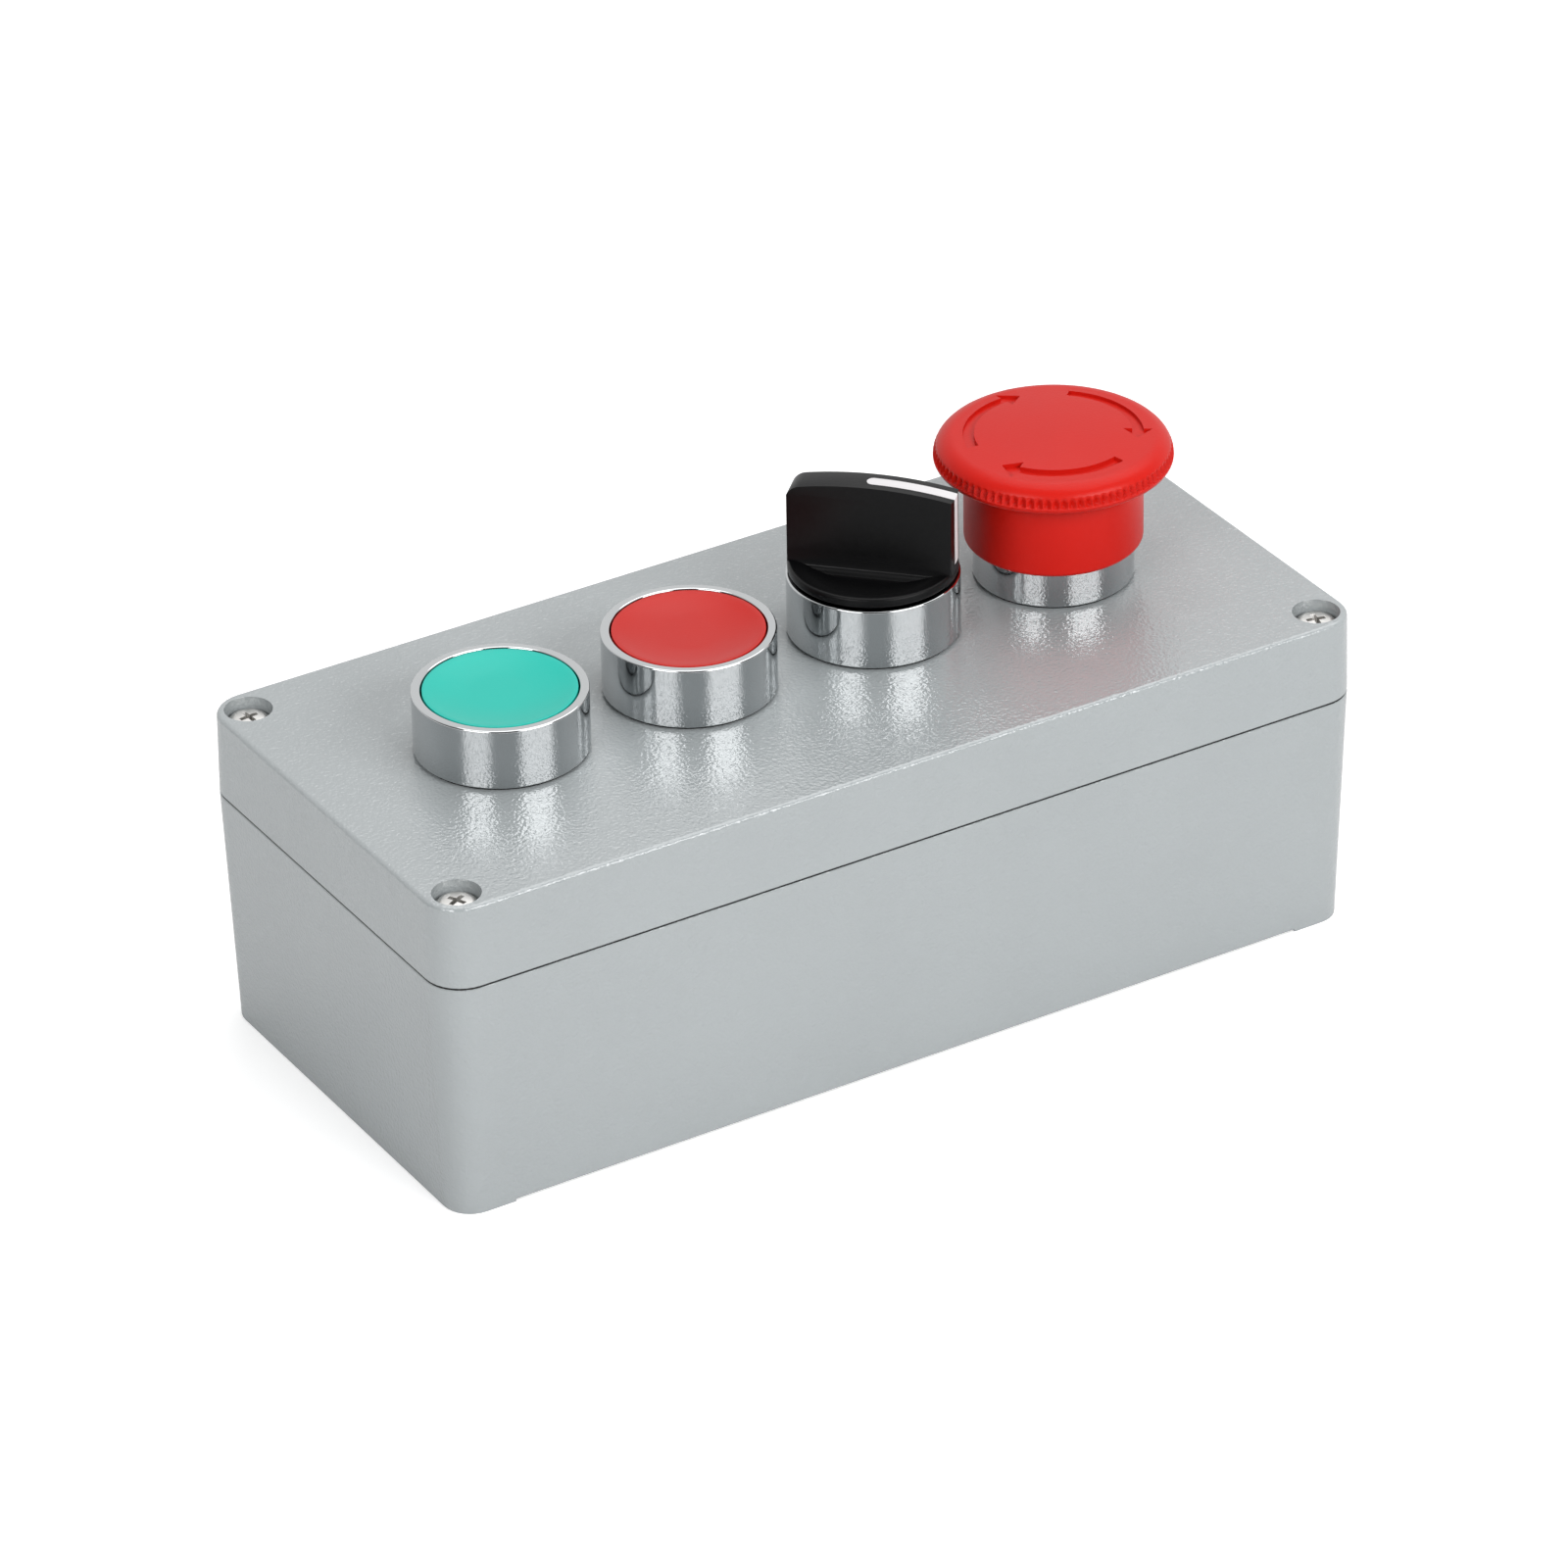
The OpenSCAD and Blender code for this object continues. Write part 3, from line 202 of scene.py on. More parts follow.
@dataclass(frozen=True)
class Finish:
    """A painted, moulded or rubbery finish."""

    slot: str
    colour: tuple[float, float, float]
    roughness: float
    relief_mm: float
    relief_depth: float
    tone: float = 0.03
    wear: float = 0.04
    specular: float = 0.5
    ior: float = 1.5

    def material(self, relief: bpy.types.NodeTree) -> bpy.types.Material:
        """Makes the finish's material.

        Args:
            relief: The group for fine relief.

        Returns:
            The new material.
        """
        made = bpy.data.materials.new(f"{self.slot}_finish")
        made.use_nodes = True
        tree = made.node_tree
        shader = tree.nodes["Principled BSDF"]
        group = node_at(tree, "ShaderNodeGroup", -2, 1, node_tree=relief)
        group.inputs["Color"].default_value = (*self.colour, 1)
        group.inputs["Roughness"].default_value = self.roughness
        group.inputs["Relief Scale"].default_value = 1000 / self.relief_mm
        group.inputs["Relief Depth"].default_value = self.relief_depth
        group.inputs["Tone"].default_value = self.tone
        group.inputs["Wear"].default_value = self.wear
        shader.inputs["Specular IOR Level"].default_value = self.specular
        shader.inputs["IOR"].default_value = self.ior
        link_all(tree, (group.outputs["Color"], shader.inputs["Base Color"]),
                 (group.outputs["Roughness"], shader.inputs["Roughness"]),
                 (group.outputs["Normal"], shader.inputs["Normal"]))
        return made


@dataclass(frozen=True)
class Metal:
    """A bare or plated metal finish."""

    slot: str
    colour: tuple[float, float, float]
    roughness: float
    haze: float
    scratches: float

    def material(self, handling: bpy.types.NodeTree) -> bpy.types.Material:
        """Makes the finish's material.

        Args:
            handling: The group for haze and scratches.

        Returns:
            The new material.
        """
        made = bpy.data.materials.new(f"{self.slot}_finish")
        made.use_nodes = True
        tree = made.node_tree
        shader = tree.nodes["Principled BSDF"]
        shader.inputs["Metallic"].default_value = 1.0
        group = node_at(tree, "ShaderNodeGroup", -2, 1, node_tree=handling)
        group.inputs["Color"].default_value = (*self.colour, 1)
        group.inputs["Roughness"].default_value = self.roughness
        group.inputs["Haze"].default_value = self.haze
        group.inputs["Scratches"].default_value = self.scratches
        link_all(tree, (group.outputs["Color"], shader.inputs["Base Color"]),
                 (group.outputs["Roughness"], shader.inputs["Roughness"]))
        return made


FINISHES = (
    Finish("cast_grey", (0.347, 0.373, 0.381), roughness=0.08, relief_mm=0.65, relief_depth=0.52,
           tone=0.02, wear=0.015, ior=1.7),
    Finish("cap_green", (0.01, 0.47, 0.385), roughness=0.34, relief_mm=0.35, relief_depth=0.06,
           tone=0.02, wear=0.05, specular=0.27),
    Finish("cap_red", (0.5, 0.01, 0.005), roughness=0.34, relief_mm=0.35, relief_depth=0.06,
           tone=0.03, wear=0.05, specular=0.23),
    Finish("stop_red", (0.57, 0.011, 0.006), roughness=0.34, relief_mm=0.4, relief_depth=0.08,
           tone=0.03, wear=0.06, specular=0.17),
    Finish("handle_black", (0.0022, 0.0022, 0.0025), roughness=0.34, relief_mm=0.4, relief_depth=0.07,
           tone=0.1, wear=0.06, specular=0.18),
    Finish("pointer_white", (0.72, 0.7, 0.71), roughness=0.45, relief_mm=0.5, relief_depth=0.05,
           tone=0.02, wear=0.03),
    Finish("drive_white", (0.8, 0.8, 0.77), roughness=0.5, relief_mm=0.5, relief_depth=0.1),
    Finish("plunger_green", (0.08, 0.45, 0.2), roughness=0.5, relief_mm=0.5, relief_depth=0.1),
    Finish("plunger_red", (0.6, 0.07, 0.05), roughness=0.5, relief_mm=0.5, relief_depth=0.1),
    Finish("block_grey", (0.06, 0.064, 0.068), roughness=0.55, relief_mm=0.45, relief_depth=0.25,
           tone=0.08, wear=0.06),
    Finish("plug_black", (0.013, 0.013, 0.014), roughness=0.5, relief_mm=0.5, relief_depth=0.2,
           tone=0.1, wear=0.06),
    # seal_black is the gaskets' rubber, and the joint strip also uses it as painted shade.
    Finish("seal_black", (0.011, 0.011, 0.011), roughness=0.75, relief_mm=0.6, relief_depth=0.2,
           tone=0.1, wear=0.05),
)
METALS = (
    Metal("bright_ring", (0.54, 0.555, 0.562), roughness=0.05, haze=0.03, scratches=0.02),
    Metal("screw_steel", (0.66, 0.65, 0.63), roughness=0.24, haze=0.2, scratches=0.15),
    Metal("plated_steel", (0.56, 0.57, 0.58), roughness=0.34, haze=0.25, scratches=0.15),
    Metal("spring_steel", (0.6, 0.6, 0.6), roughness=0.22, haze=0.1, scratches=0.1),
)


def finish_of(slot: str) -> bpy.types.Material:
    """Looks up the material that this scene made for a slot."""
    return bpy.data.materials[f"{slot}_finish"]


# ---------------------------------------------------------------- mesh helpers


def rounded_wire(bm: bmesh.types.BMesh, points: Sequence[tuple[float, float]], radii: Sequence[float],
                 closed: bool = False, segments: int = 5) -> None:
    """Draws an outline in the XZ plane and rounds its corners.

    Args:
        bm: The mesh that takes the outline.
        points: Corners of the outline, in millimetres.
        radii: Rounding at each corner, in millimetres, 0 for none.
        closed: Whether the last corner joins the first.
        segments: Edges along each rounding.
    """
    corners = [bm.verts.new((x * MM, 0, z * MM)) for x, z in points]
    for one, other in zip(corners, corners[1:] + corners[:1] if closed else corners[1:]):
        bm.edges.new((one, other))
    for corner, radius in zip(corners, radii):
        if radius:
            bmesh.ops.bevel(bm, geom=[corner], offset=radius * MM, offset_type="OFFSET", segments=segments,
                            profile=0.5, affect="VERTICES", material=-1)


def turned(points: Sequence[tuple[float, float]], radii: Sequence[float], steps: int = 96,
           segments: int = 5) -> bmesh.types.BMesh:
    """Turns an outline of radius and height about the Z axis.

    Args:
        points: Corners of the outline as radius and height, in millimetres.
        radii: Rounding at each corner, in millimetres.
        steps: Facets round the axis.
        segments: Edges along each rounding.

    Returns:
        The closed shape, standing on the axis.
    """
    bm = bmesh.new()
    rounded_wire(bm, points, radii, points[0][0] > 0, segments)
    bmesh.ops.spin(bm, geom=[*bm.verts, *bm.edges], cent=(0, 0, 0), axis=(0, 0, 1), dvec=(0, 0, 0),
                   angle=FULL_TURN, steps=steps, use_merge=True, use_duplicate=False)
    bmesh.ops.remove_doubles(bm, verts=bm.verts, dist=0.00001)
    bmesh.ops.recalc_face_normals(bm, faces=bm.faces)
    return bm


def sliced(bm: bmesh.types.BMesh, point: tuple[float, float, float],
           normal: tuple[float, float, float]) -> None:
    """Adds the edges along which a plane crosses a mesh.

    Args:
        bm: The mesh.
        point: A point of the plane, in metres.
        normal: The plane's direction.
    """
    bmesh.ops.bisect_plane(bm, geom=[*bm.verts, *bm.edges, *bm.faces], dist=0.0000001, plane_co=point,
                           plane_no=normal)


def mark_edges(bm: bmesh.types.BMesh, shading: Shading) -> None:
    """Makes every face smooth, and every edge smooth or sharp by its angle.

    Args:
        bm: The mesh.
        shading: How crisp its edges stay.
    """
    for face in bm.faces:
        face.smooth = True
    for edge in bm.edges:
        edge.smooth = edge.calc_face_angle(0) < math.radians(shading.value)


def even_normals(piece: bpy.types.Object) -> None:
    """Weights a piece's normals by the size of its faces, up to its sharp edges."""
    piece.modifiers.new("even_normals", "WEIGHTED_NORMAL").keep_sharp = True


def finished(name: str, bm: bmesh.types.BMesh, slot: str, place: Matrix = Matrix.Identity(4),
             shading: Shading = Shading.ROUND) -> bpy.types.Object:
    """Turns a mesh into an object at the origin, with its finish.

    Args:
        name: Name of the piece.
        bm: Its mesh, which is used up.
        slot: Material slot that it takes its finish from.
        place: Where it goes, applied to the mesh.
        shading: How crisp its edges stay.

    Returns:
        The new object.
    """
    bm.transform(place)
    mark_edges(bm, shading)
    mesh = bpy.data.meshes.new(name)
    bm.to_mesh(mesh)
    bm.free()
    mesh.materials.append(finish_of(slot))
    piece = bpy.data.objects.new(name, mesh)
    bpy.context.scene.collection.objects.link(piece)
    return piece


def carved(piece: bpy.types.Object, tool: bpy.types.Object, operation: str = "DIFFERENCE") -> None:
    """Cuts one piece with another, which is used up.

    Args:
        piece: The piece that is cut.
        tool: The cutting shape.
        operation: The boolean operation.
    """
    cut = piece.modifiers.new("cut", "BOOLEAN")
    cut.operation = operation
    cut.solver = "EXACT"
    cut.object = tool
    result = bpy.data.meshes.new_from_object(piece.evaluated_get(bpy.context.evaluated_depsgraph_get()))
    piece.modifiers.remove(cut)
    old, piece.data = piece.data, result
    LOG.info("%s: %d faces before its cut and %d after", piece.name, len(old.polygons), len(result.polygons))
    result.name = old.name
    bpy.data.meshes.remove(old)
    bpy.data.objects.remove(tool)


def crisp(piece: bpy.types.Object, shading: Shading) -> None:
    """Marks a finished piece's edges anew, and evens its normals out.

    Args:
        piece: The piece.
        shading: How crisp its edges stay.
    """
    bm = bmesh.new()
    bm.from_mesh(piece.data)
    mark_edges(bm, shading)
    bm.to_mesh(piece.data)
    bm.free()
    even_normals(piece)


def extruded(bm: bmesh.types.BMesh, along: tuple[float, float, float]) -> None:
    """Extrudes flat faces into a closed prism.

    Args:
        bm: The mesh that holds the faces.
        along: How far along each axis, in millimetres.
    """
    far = bmesh.ops.extrude_face_region(bm, geom=bm.faces[:])
    bmesh.ops.translate(bm, vec=[part * MM for part in along], verts=[
        v for v in far["geom"] if isinstance(v, bmesh.types.BMVert)])
    bmesh.ops.recalc_face_normals(bm, faces=bm.faces)


def copy_of(node: str) -> bmesh.types.BMesh:
    """Copies a CAD node's mesh and merges its loose triangles.

    Args:
        node: The node's name.

    Returns:
        The copy.
    """
    bm = bmesh.new()
    bm.from_mesh(frame["nodes"][node].data)
    bmesh.ops.remove_doubles(bm, verts=bm.verts, dist=0.000002)
    return bm


def settle(piece: bpy.types.Object, body: str, *nodes: str) -> None:
    """Lets a piece ride on a body in place of the nodes that it stands for, and reports it.

    Args:
        piece: The piece.
        body: The body that it rides on.
        nodes: The CAD nodes that it replaces, none if only the scene has it.
    """
    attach(piece, body)
    if nodes:
        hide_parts(*nodes)
    LOG.info("%s rides on %s for %s", piece.name, body, ", ".join(nodes) or "itself")


# ---------------------------------------------------------------- sub-assemblies


@dataclass
class Enclosure:
    """Cast box and lid with their paint, a strip of painted shade in their joint, and the screws in the
    lid's corners.
    """

    half_x: float = 87.5
    half_y: float = 40.0
    corner_r: float = 6.5
    joint_z: float = 43.2
    lid_z: float = 58.0
    lid_draft: float = 0.2
    cad_edge_r: float = 1.5
    edge_r: float = 0.8
    rim_round: float = 0.35
    flat_angle: float = 0.6
    round_angle: float = 50.0
    # Strip of painted shade in the joint: its outer and inner offsets from the outline and its half height
    # in millimetres, and its steps round each corner.
    shade_strip_back: float = 0.15
    shade_strip_inner: float = 1.0
    shade_strip_half: float = 0.17
    shade_strip_steps: int = 12
    pocket_x: float = 81.8
    pocket_y: float = 34.3
    pocket_d: float = 8.0
    pocket_rim: float = 0.9
    pocket_soft: float = 0.35
    head_d: float = 7.2
    head_top: float = 56.5
    head_h: float = 3.7
    shank_d: float = 5.0
    screw_end: float = 30.8
    recess_size: tuple[float, float, float] = (4.4, 1.0, 3.0)
    recess_taper: tuple[float, float] = (0.45, 0.6)

    def cast(self, node: str) -> None:
        """Copies a casting, evens its faces out and paints it.

        Args:
            node: The casting's CAD node.
        """
        bm = copy_of(node)
        self.tighten_edge(bm)
        bmesh.ops.dissolve_limit(bm, angle_limit=math.radians(self.flat_angle), verts=bm.verts,
                                 edges=bm.edges)
        weights = bm.edges.layers.float.new("bevel_weight_edge")
        for edge in bm.edges:
            if edge.calc_face_angle(0) > math.radians(self.round_angle):
                edge[weights] = self.softness(edge)
        piece = finished(f"{node}_casting", bm, "cast_grey", shading=Shading.CAST)
        soft = piece.modifiers.new("paint_rounding", "BEVEL")
        soft.width = self.rim_round * MM
        soft.segments = 3
        soft.limit_method = "WEIGHT"
        soft.miter_outer = "MITER_ARC"
        soft.use_clamp_overlap = True
        even_normals(piece)
        settle(piece, "station", node)

    def inset(self, x: float, y: float, lean: float = 0.0) -> tuple[float, Vector]:
        """Measures how far a point lies inside the box's outline.

        Args:
            x: Place along the box, in millimetres.
            y: Place across the box, in millimetres.
            lean: How far the outline itself stands in, in millimetres.

        Returns:
            The distance in millimetres, and the direction straight out of the outline.
        """
        radius = self.corner_r - lean
        off = Vector((abs(x) - self.half_x + self.corner_r, abs(y) - self.half_y + self.corner_r))
        if off.x > 0 and off.y > 0:
            out, deep = off.normalized(), radius - off.length
        elif off.x > off.y:
            out, deep = Vector((1, 0)), radius - off.x
        else:
            out, deep = Vector((0, 1)), radius - off.y
        return deep, Vector((math.copysign(out.x, x), math.copysign(out.y, y), 0))

    def near_pocket(self, x: float, y: float, margin: float = 0.05) -> bool:
        """Tells whether a point is on or inside a screw pocket's wall."""
        return math.hypot(abs(x) - self.pocket_x, abs(y) - self.pocket_y) < self.pocket_d / 2 + margin

    def tighten_edge(self, bm: bmesh.types.BMesh) -> None:
        """Draws the rounding along the lid's upper edge in to the photograph's width.

        Args:
            bm: A casting's mesh; that of the base has nothing so high and stays as it is.
        """
        share = self.edge_r / self.cad_edge_r
        for v in bm.verts:
            x, y, z = v.co / MM
            deep, out = self.inset(x, y, self.lid_draft)
            if z < self.lid_z - self.cad_edge_r - 0.01 or deep > self.cad_edge_r + 0.02:
                continue
            if self.near_pocket(x, y):
                if z > self.lid_z - self.pocket_rim:
                    v.co.z = min(self.lid_z, z + self.cad_edge_r) * MM
                continue
            v.co.z = (self.lid_z - (self.lid_z - z) * share) * MM
            v.co += out * deep * (1 - share) * MM

    def softness(self, edge: bmesh.types.BMEdge) -> float:
        """Tells how much of the paint's rounding an edge gets: none at the joint, little at a pocket.

        Args:
            edge: An edge of a casting.

        Returns:
            Its share of the full rounding, from 0 to 1.
        """
        x, y, z = (edge.verts[0].co + edge.verts[1].co) / (2 * MM)
        if abs(z - self.joint_z) < 0.5 and self.inset(x, y)[0] < 0.6:
            return 0.0
        return self.pocket_soft if self.near_pocket(x, y, 0.1) and z > self.joint_z else 1.0

    def painted_joint_shade(self) -> None:
        """Lays a dark strip inside the joint between base and lid, painted shade where the narrow gap gets
        no light.
        """
        bm = bmesh.new()
        for back in (self.shade_strip_back, self.shade_strip_inner):
            r = self.corner_r - back
            x, y = self.half_x - self.corner_r, self.half_y - self.corner_r
            for cx, cy, first in ((x, y, 0), (-x, y, 90), (-x, -y, 180), (x, -y, 270)):
                for step in range(self.shade_strip_steps + 1):
                    a = math.radians(first + step * 90 / self.shade_strip_steps)
                    bm.verts.new(((cx + r * math.cos(a)) * MM, (cy + r * math.sin(a)) * MM,
                                  (self.joint_z - self.shade_strip_half) * MM))
        bm.verts.ensure_lookup_table()
        count = len(bm.verts) // 2
        for k in range(count):
            n = (k + 1) % count
            bm.faces.new([bm.verts[i] for i in (k, n, n + count, k + count)])
        extruded(bm, (0, 0, 2 * self.shade_strip_half))
        # The strip uses the gaskets' black rubber finish as painted shade in the joint's gap.
        settle(finished("joint_shade_strip", bm, "seal_black", shading=Shading.CAST), "station")

    def screw(self) -> bmesh.types.BMesh:
        """Turns one pan head screw, still without its cross recess.

        Returns:
            The screw, standing on its own axis.
        """
        half, shank = self.head_d / 2, self.shank_d / 2
        low = self.head_top - self.head_h
        return turned([(0, self.screw_end), (shank, self.screw_end), (shank, low), (half, low),
                       (half, self.head_top), (0, self.head_top + 0.1)], [0, 0.6, 0, 0.2, 1.3, 0], 48)

    def build(self) -> None:
        """Makes the castings, the painted shade in their joint and the lid screws."""
        self.cast("enclosure_base")
        self.cast("enclosure_lid")
        self.painted_joint_shade()
        for end, (sx, sy) in enumerate([(-1, -1), (-1, 1), (1, -1), (1, 1)]):
            place = Matrix.Translation((sx * self.pocket_x * MM, sy * self.pocket_y * MM, 0))
            turn = Matrix.Rotation(math.radians(25 + 70 * end), 4, "Z")
            piece = finished(f"lid_screw_{end}", self.screw(), "screw_steel", place @ turn)
            for arm in (0, 90):
                carved(piece, self.recess(place @ turn @ Matrix.Rotation(math.radians(arm), 4, "Z")))
            crisp(piece, Shading.CAST)
            settle(piece, "station", "lid_screws")

    def recess(self, place: Matrix) -> bpy.types.Object:
        """Makes the tapered arm that cuts half of a screw's cross recess.

        Args:
            place: Where the arm goes, with its turn about the screw.

        Returns:
            The cutting shape.
        """
        bm = bmesh.new()
        bmesh.ops.create_cube(bm, size=1.0, matrix=Matrix.Translation((0, 0, self.head_top * MM)) @
                              Matrix.Diagonal((*(side * MM for side in self.recess_size), 1)))
        low = [v for v in bm.verts if v.co.z < self.head_top * MM]
        bmesh.ops.scale(bm, vec=(*self.recess_taper, 1), verts=low)
        return finished("recess_tool", bm, "screw_steel", place)


@dataclass
class Operator:
    """What every operator has: its bright body and its gasket."""

    name: str
    x: float
    y: float = 1.2
    ring_r: float = 14.45
    ring_top: float = 69.0
    well_r: float = 12.9
    gasket_r: float = 14.0
    gasket_bore_r: float = 11.2
    lid_z: float = 58.0
    ring_z: float = 58.4
    well_z: float = 59.6
    bore_r: float = 8.5
    neck_r: float = 11.0
    neck_z: float = 45.0
    seat_z: float = 46.5
    seat_r: float = 4.5
    edge: float = 0.3

    @property
    def place(self) -> Matrix:
        """Where the operator stands."""
        return Matrix.Translation((self.x * MM, self.y * MM, 0))

    def body(self) -> None:
        """Turns the bright ring with its well, neck and spring seat."""
        outline = [(self.ring_r, self.ring_z), (self.ring_r, self.ring_top), (self.well_r, self.ring_top),
                   (self.well_r, self.well_z), (self.bore_r, self.well_z), (self.bore_r, self.seat_z),
                   (self.seat_r, self.seat_z), (self.seat_r, self.neck_z), (self.neck_r, self.neck_z),
                   (self.neck_r, self.ring_z)]
        bm = turned(outline, [0.25, self.edge, 0.3, 0.2, 0.2, 0, 0, 0, 0.4, 0.2], FINE_STEPS)
        piece = finished(f"{self.name}_ring", bm, "bright_ring", self.place)
        crisp(piece, Shading.ROUND)
        settle(piece, "station", f"{self.name}_body")

    def gasket(self) -> None:
        """Turns the rubber gasket under the ring."""
        bore_r, r, low, high = self.gasket_bore_r, self.gasket_r, self.lid_z, self.ring_z
        bm = turned([(bore_r, low), (r, low), (r, high), (bore_r, high)], [0, 0.1, 0.1, 0], PLAIN_STEPS, 3)
        settle(finished(f"{self.name}_seal", bm, "seal_black", self.place), "station", f"{self.name}_gasket")

    def build(self) -> None:
        """Makes the body and the gasket."""
        self.body()
        self.gasket()


@dataclass
class PushButton(Operator):
    """Operator with a dished cap."""

    cap_r: float = 12.65
    cap_z: float = 68.9
    cap_h: float = 4.6
    skirt: float = 2.0
    hollow: float = 2.0
    dish: float = 1.1
    dish_flat: float = 0.64
    dish_fall: float = 0.86
    land: float = 0.5

    def build(self) -> None:
        """Makes the body, the gasket and the cap."""
        super().build()
        r, z = self.cap_r, self.cap_z
        low, inner, skirt_r = z - self.cap_h, r - self.land, r - self.skirt
        bm = turned([(0, z - self.dish), (inner * self.dish_flat, z - self.dish * self.dish_fall),
                     (inner, z), (r, z), (r, low), (skirt_r, low), (skirt_r, low + self.hollow),
                     (0, low + self.hollow)],
                    [0, 3.2, 0.4, 0.3, 0.2, 0, 0, 0], FINE_STEPS, 8)
        piece = finished(f"{self.name}_button_cap", bm, f"cap_{self.name}", self.place)
        crisp(piece, Shading.ROUND)
        settle(piece, f"{self.name}_button", f"{self.name}_cap")


@dataclass
class Selector(Operator):
    """Operator with a sculpted handle and its white pointer."""

    angle: float = -45.0
    base_r: float = 14.15
    base_z: float = 69.2
    base_h: float = 2.0
    base_foot: float = 0.95
    hollow: float = 1.5
    top_z: float = 85.5
    fall: float = 1.4
    top_half: float = 2.6
    foot_half: float = 3.5
    tail_round: float = 3.0
    edge_round: float = 0.55
    shelf: float = 1.3
    shelf_top: float = 69.95
    shelf_rise: float = 0.8
    pointer_half: float = 1.1
    pointer_start: float = 0.8
    pointer_foot: float = 72.2
    inlay_proud: float = 0.045
    inlay_reach: float = 0.025
    inlay_depth: float = 0.7
    flange_r: float = 12.6
    flange_h: float = 2.0
    drive: tuple[float, float, float] = (7.0, 7.0, 6.5)
    drive_drop: float = 5.25
    overlap: float = 0.4

    @property
    def end_z(self) -> float:
        """Height of the handle's ends."""
        return self.top_z - self.fall

    @property
    def turn(self) -> Matrix:
        """How far the handle is turned at rest."""
        return Matrix.Rotation(math.radians(self.angle), 4, "Z")

    def slab(self, grow: float = 0.0) -> bpy.types.Object:
        """Builds the upright handle, along X on its own axis.

        Args:
            grow: How far every face stands out from the plain handle, in millimetres.

        Returns:
            The handle as an object.
        """
        reach = self.base_r + grow
        bm = bmesh.new()
        low = self.base_z + self.overlap
        top, tail = self.top_z + grow, self.tail_round + grow
        arch = (reach * reach + self.fall * self.fall) / (2 * self.fall)
        tangent = math.asin((reach - tail) / (arch - tail))
        tail_z = top - arch + (arch - tail) * math.cos(tangent)
        start = bm.verts.new((-reach * MM, 0, tail_z * MM))
        corner = bmesh.ops.spin(bm, geom=[start], cent=((tail - reach) * MM, 0, tail_z * MM), axis=(0, 1, 0),
                                dvec=(0, 0, 0), angle=math.pi / 2 - tangent, steps=8, use_merge=False,
                                use_duplicate=False)
        crest = [v for v in corner["geom_last"] if isinstance(v, bmesh.types.BMVert)]
        bmesh.ops.spin(bm, geom=crest, cent=(0, 0, (top - arch) * MM), axis=(0, 1, 0), dvec=(0, 0, 0),
                       angle=tangent + math.asin(reach / arch), steps=24, use_merge=False,
                       use_duplicate=False)
        row = sorted(bm.verts, key=lambda v: v.co.x)
        ends = [bm.verts.new((x * MM, 0, low * MM)) for x in (-reach, reach)]
        bm.edges.new((ends[0], row[0]))
        bm.edges.new((row[-1], ends[1]))
        bm.edges.new(ends)
        bmesh.ops.edgenet_fill(bm, edges=bm.edges)
        extruded(bm, (0, 1, 0))
        bmesh.ops.translate(bm, vec=(0, -0.5 * MM, 0), verts=bm.verts)
        levels = [low + (self.top_z - low) * share for share in (0.24, 0.36, 0.5, 0.7, 0.85)]
        levels += [self.shelf_top + self.shelf_rise * share for share in (0, 0.15, 0.3, 0.5, 0.75, 1)]
        for level in levels:
            sliced(bm, (0, 0, level * MM), (0, 0, 1))
        for along in (-0.75, -0.5, -0.25, 0, 0.25, 0.5, 0.75):
            sliced(bm, (along * reach * MM, 0, 0), (1, 0, 0))
        for v in bm.verts:
            share = min(1.0, (v.co.z / MM - low) / (self.end_z - low))
            flare = (1 - share) ** 3
            taper = 0.55 * (1 - share) + 0.45 * flare
            half = self.top_half + grow + (self.foot_half - self.top_half) * taper
            above = min(1.0, max(0.0, (v.co.z / MM - self.shelf_top) / self.shelf_rise))
            v.co.y = math.copysign((half + self.shelf * (1 - above) ** 2) * MM, v.co.y)
        return finished("handle_slab", bm, "handle_black", self.place @ self.turn)

    def rod(self, radius: float) -> bpy.types.Object:
        """Makes an upright cylinder that trims the handle's ends.

        Args:
            radius: Its radius, in millimetres.

        Returns:
            The trimming shape, taller than the handle.
        """
        low, high = self.base_z - 5, self.top_z + 5
        bm = turned([(0, low), (radius, low), (radius, high), (0, high)], [0, 0, 0, 0], PLAIN_STEPS)
        return finished("trim_tool", bm, "handle_black", self.place)

    def handle(self) -> None:
        """Makes the handle on its hollowed base, with the drive under it."""
        slab = self.slab()
        carved(slab, self.rod(self.base_r - 0.02), "INTERSECT")
        bm = bmesh.new()
        bm.from_mesh(slab.data)
        bpy.data.objects.remove(slab)
        bmesh.ops.dissolve_limit(bm, angle_limit=math.radians(0.2), verts=bm.verts, edges=bm.edges)
        sharp = [e for e in bm.edges if e.calc_face_angle(0) > math.radians(40)]
        bmesh.ops.bevel(bm, geom=sharp, offset=self.edge_round * MM, offset_type="OFFSET", segments=4,
                        profile=0.5, affect="EDGES", clamp_overlap=True, material=-1)
        r, z, h = self.base_r, self.base_z, self.base_h
        base = turned([(0, z), (r, z), (r, z + h), (r - 1.6, z + h - 0.1), (r * 0.6, z + h - self.hollow),
                       (0, z + h - self.hollow)], [0, self.base_foot, 0.6, 0.8, 3.0, 0], FINE_STEPS, 8)
        low, high = z - self.flange_h, z + self.overlap
        flange = turned([(0, low), (self.flange_r, low), (self.flange_r, high), (0, high)], [0, 0.3, 0, 0])
        for part in (base, flange):
            part.transform(self.place)
            carrier = bpy.data.meshes.new("carrier")
            part.to_mesh(carrier)
            part.free()
            bm.from_mesh(carrier)
            bpy.data.meshes.remove(carrier)
        bmesh.ops.create_cube(bm, size=1.0, matrix=self.place @ self.turn @ Matrix.Translation(
            (0, 0, (z - self.drive_drop) * MM)) @ Matrix.Diagonal((*(side * MM for side in self.drive), 1)))
        piece = finished("selector_handle_grip", bm, "handle_black")
        settle(piece, "selector_handle", "selector_knob")

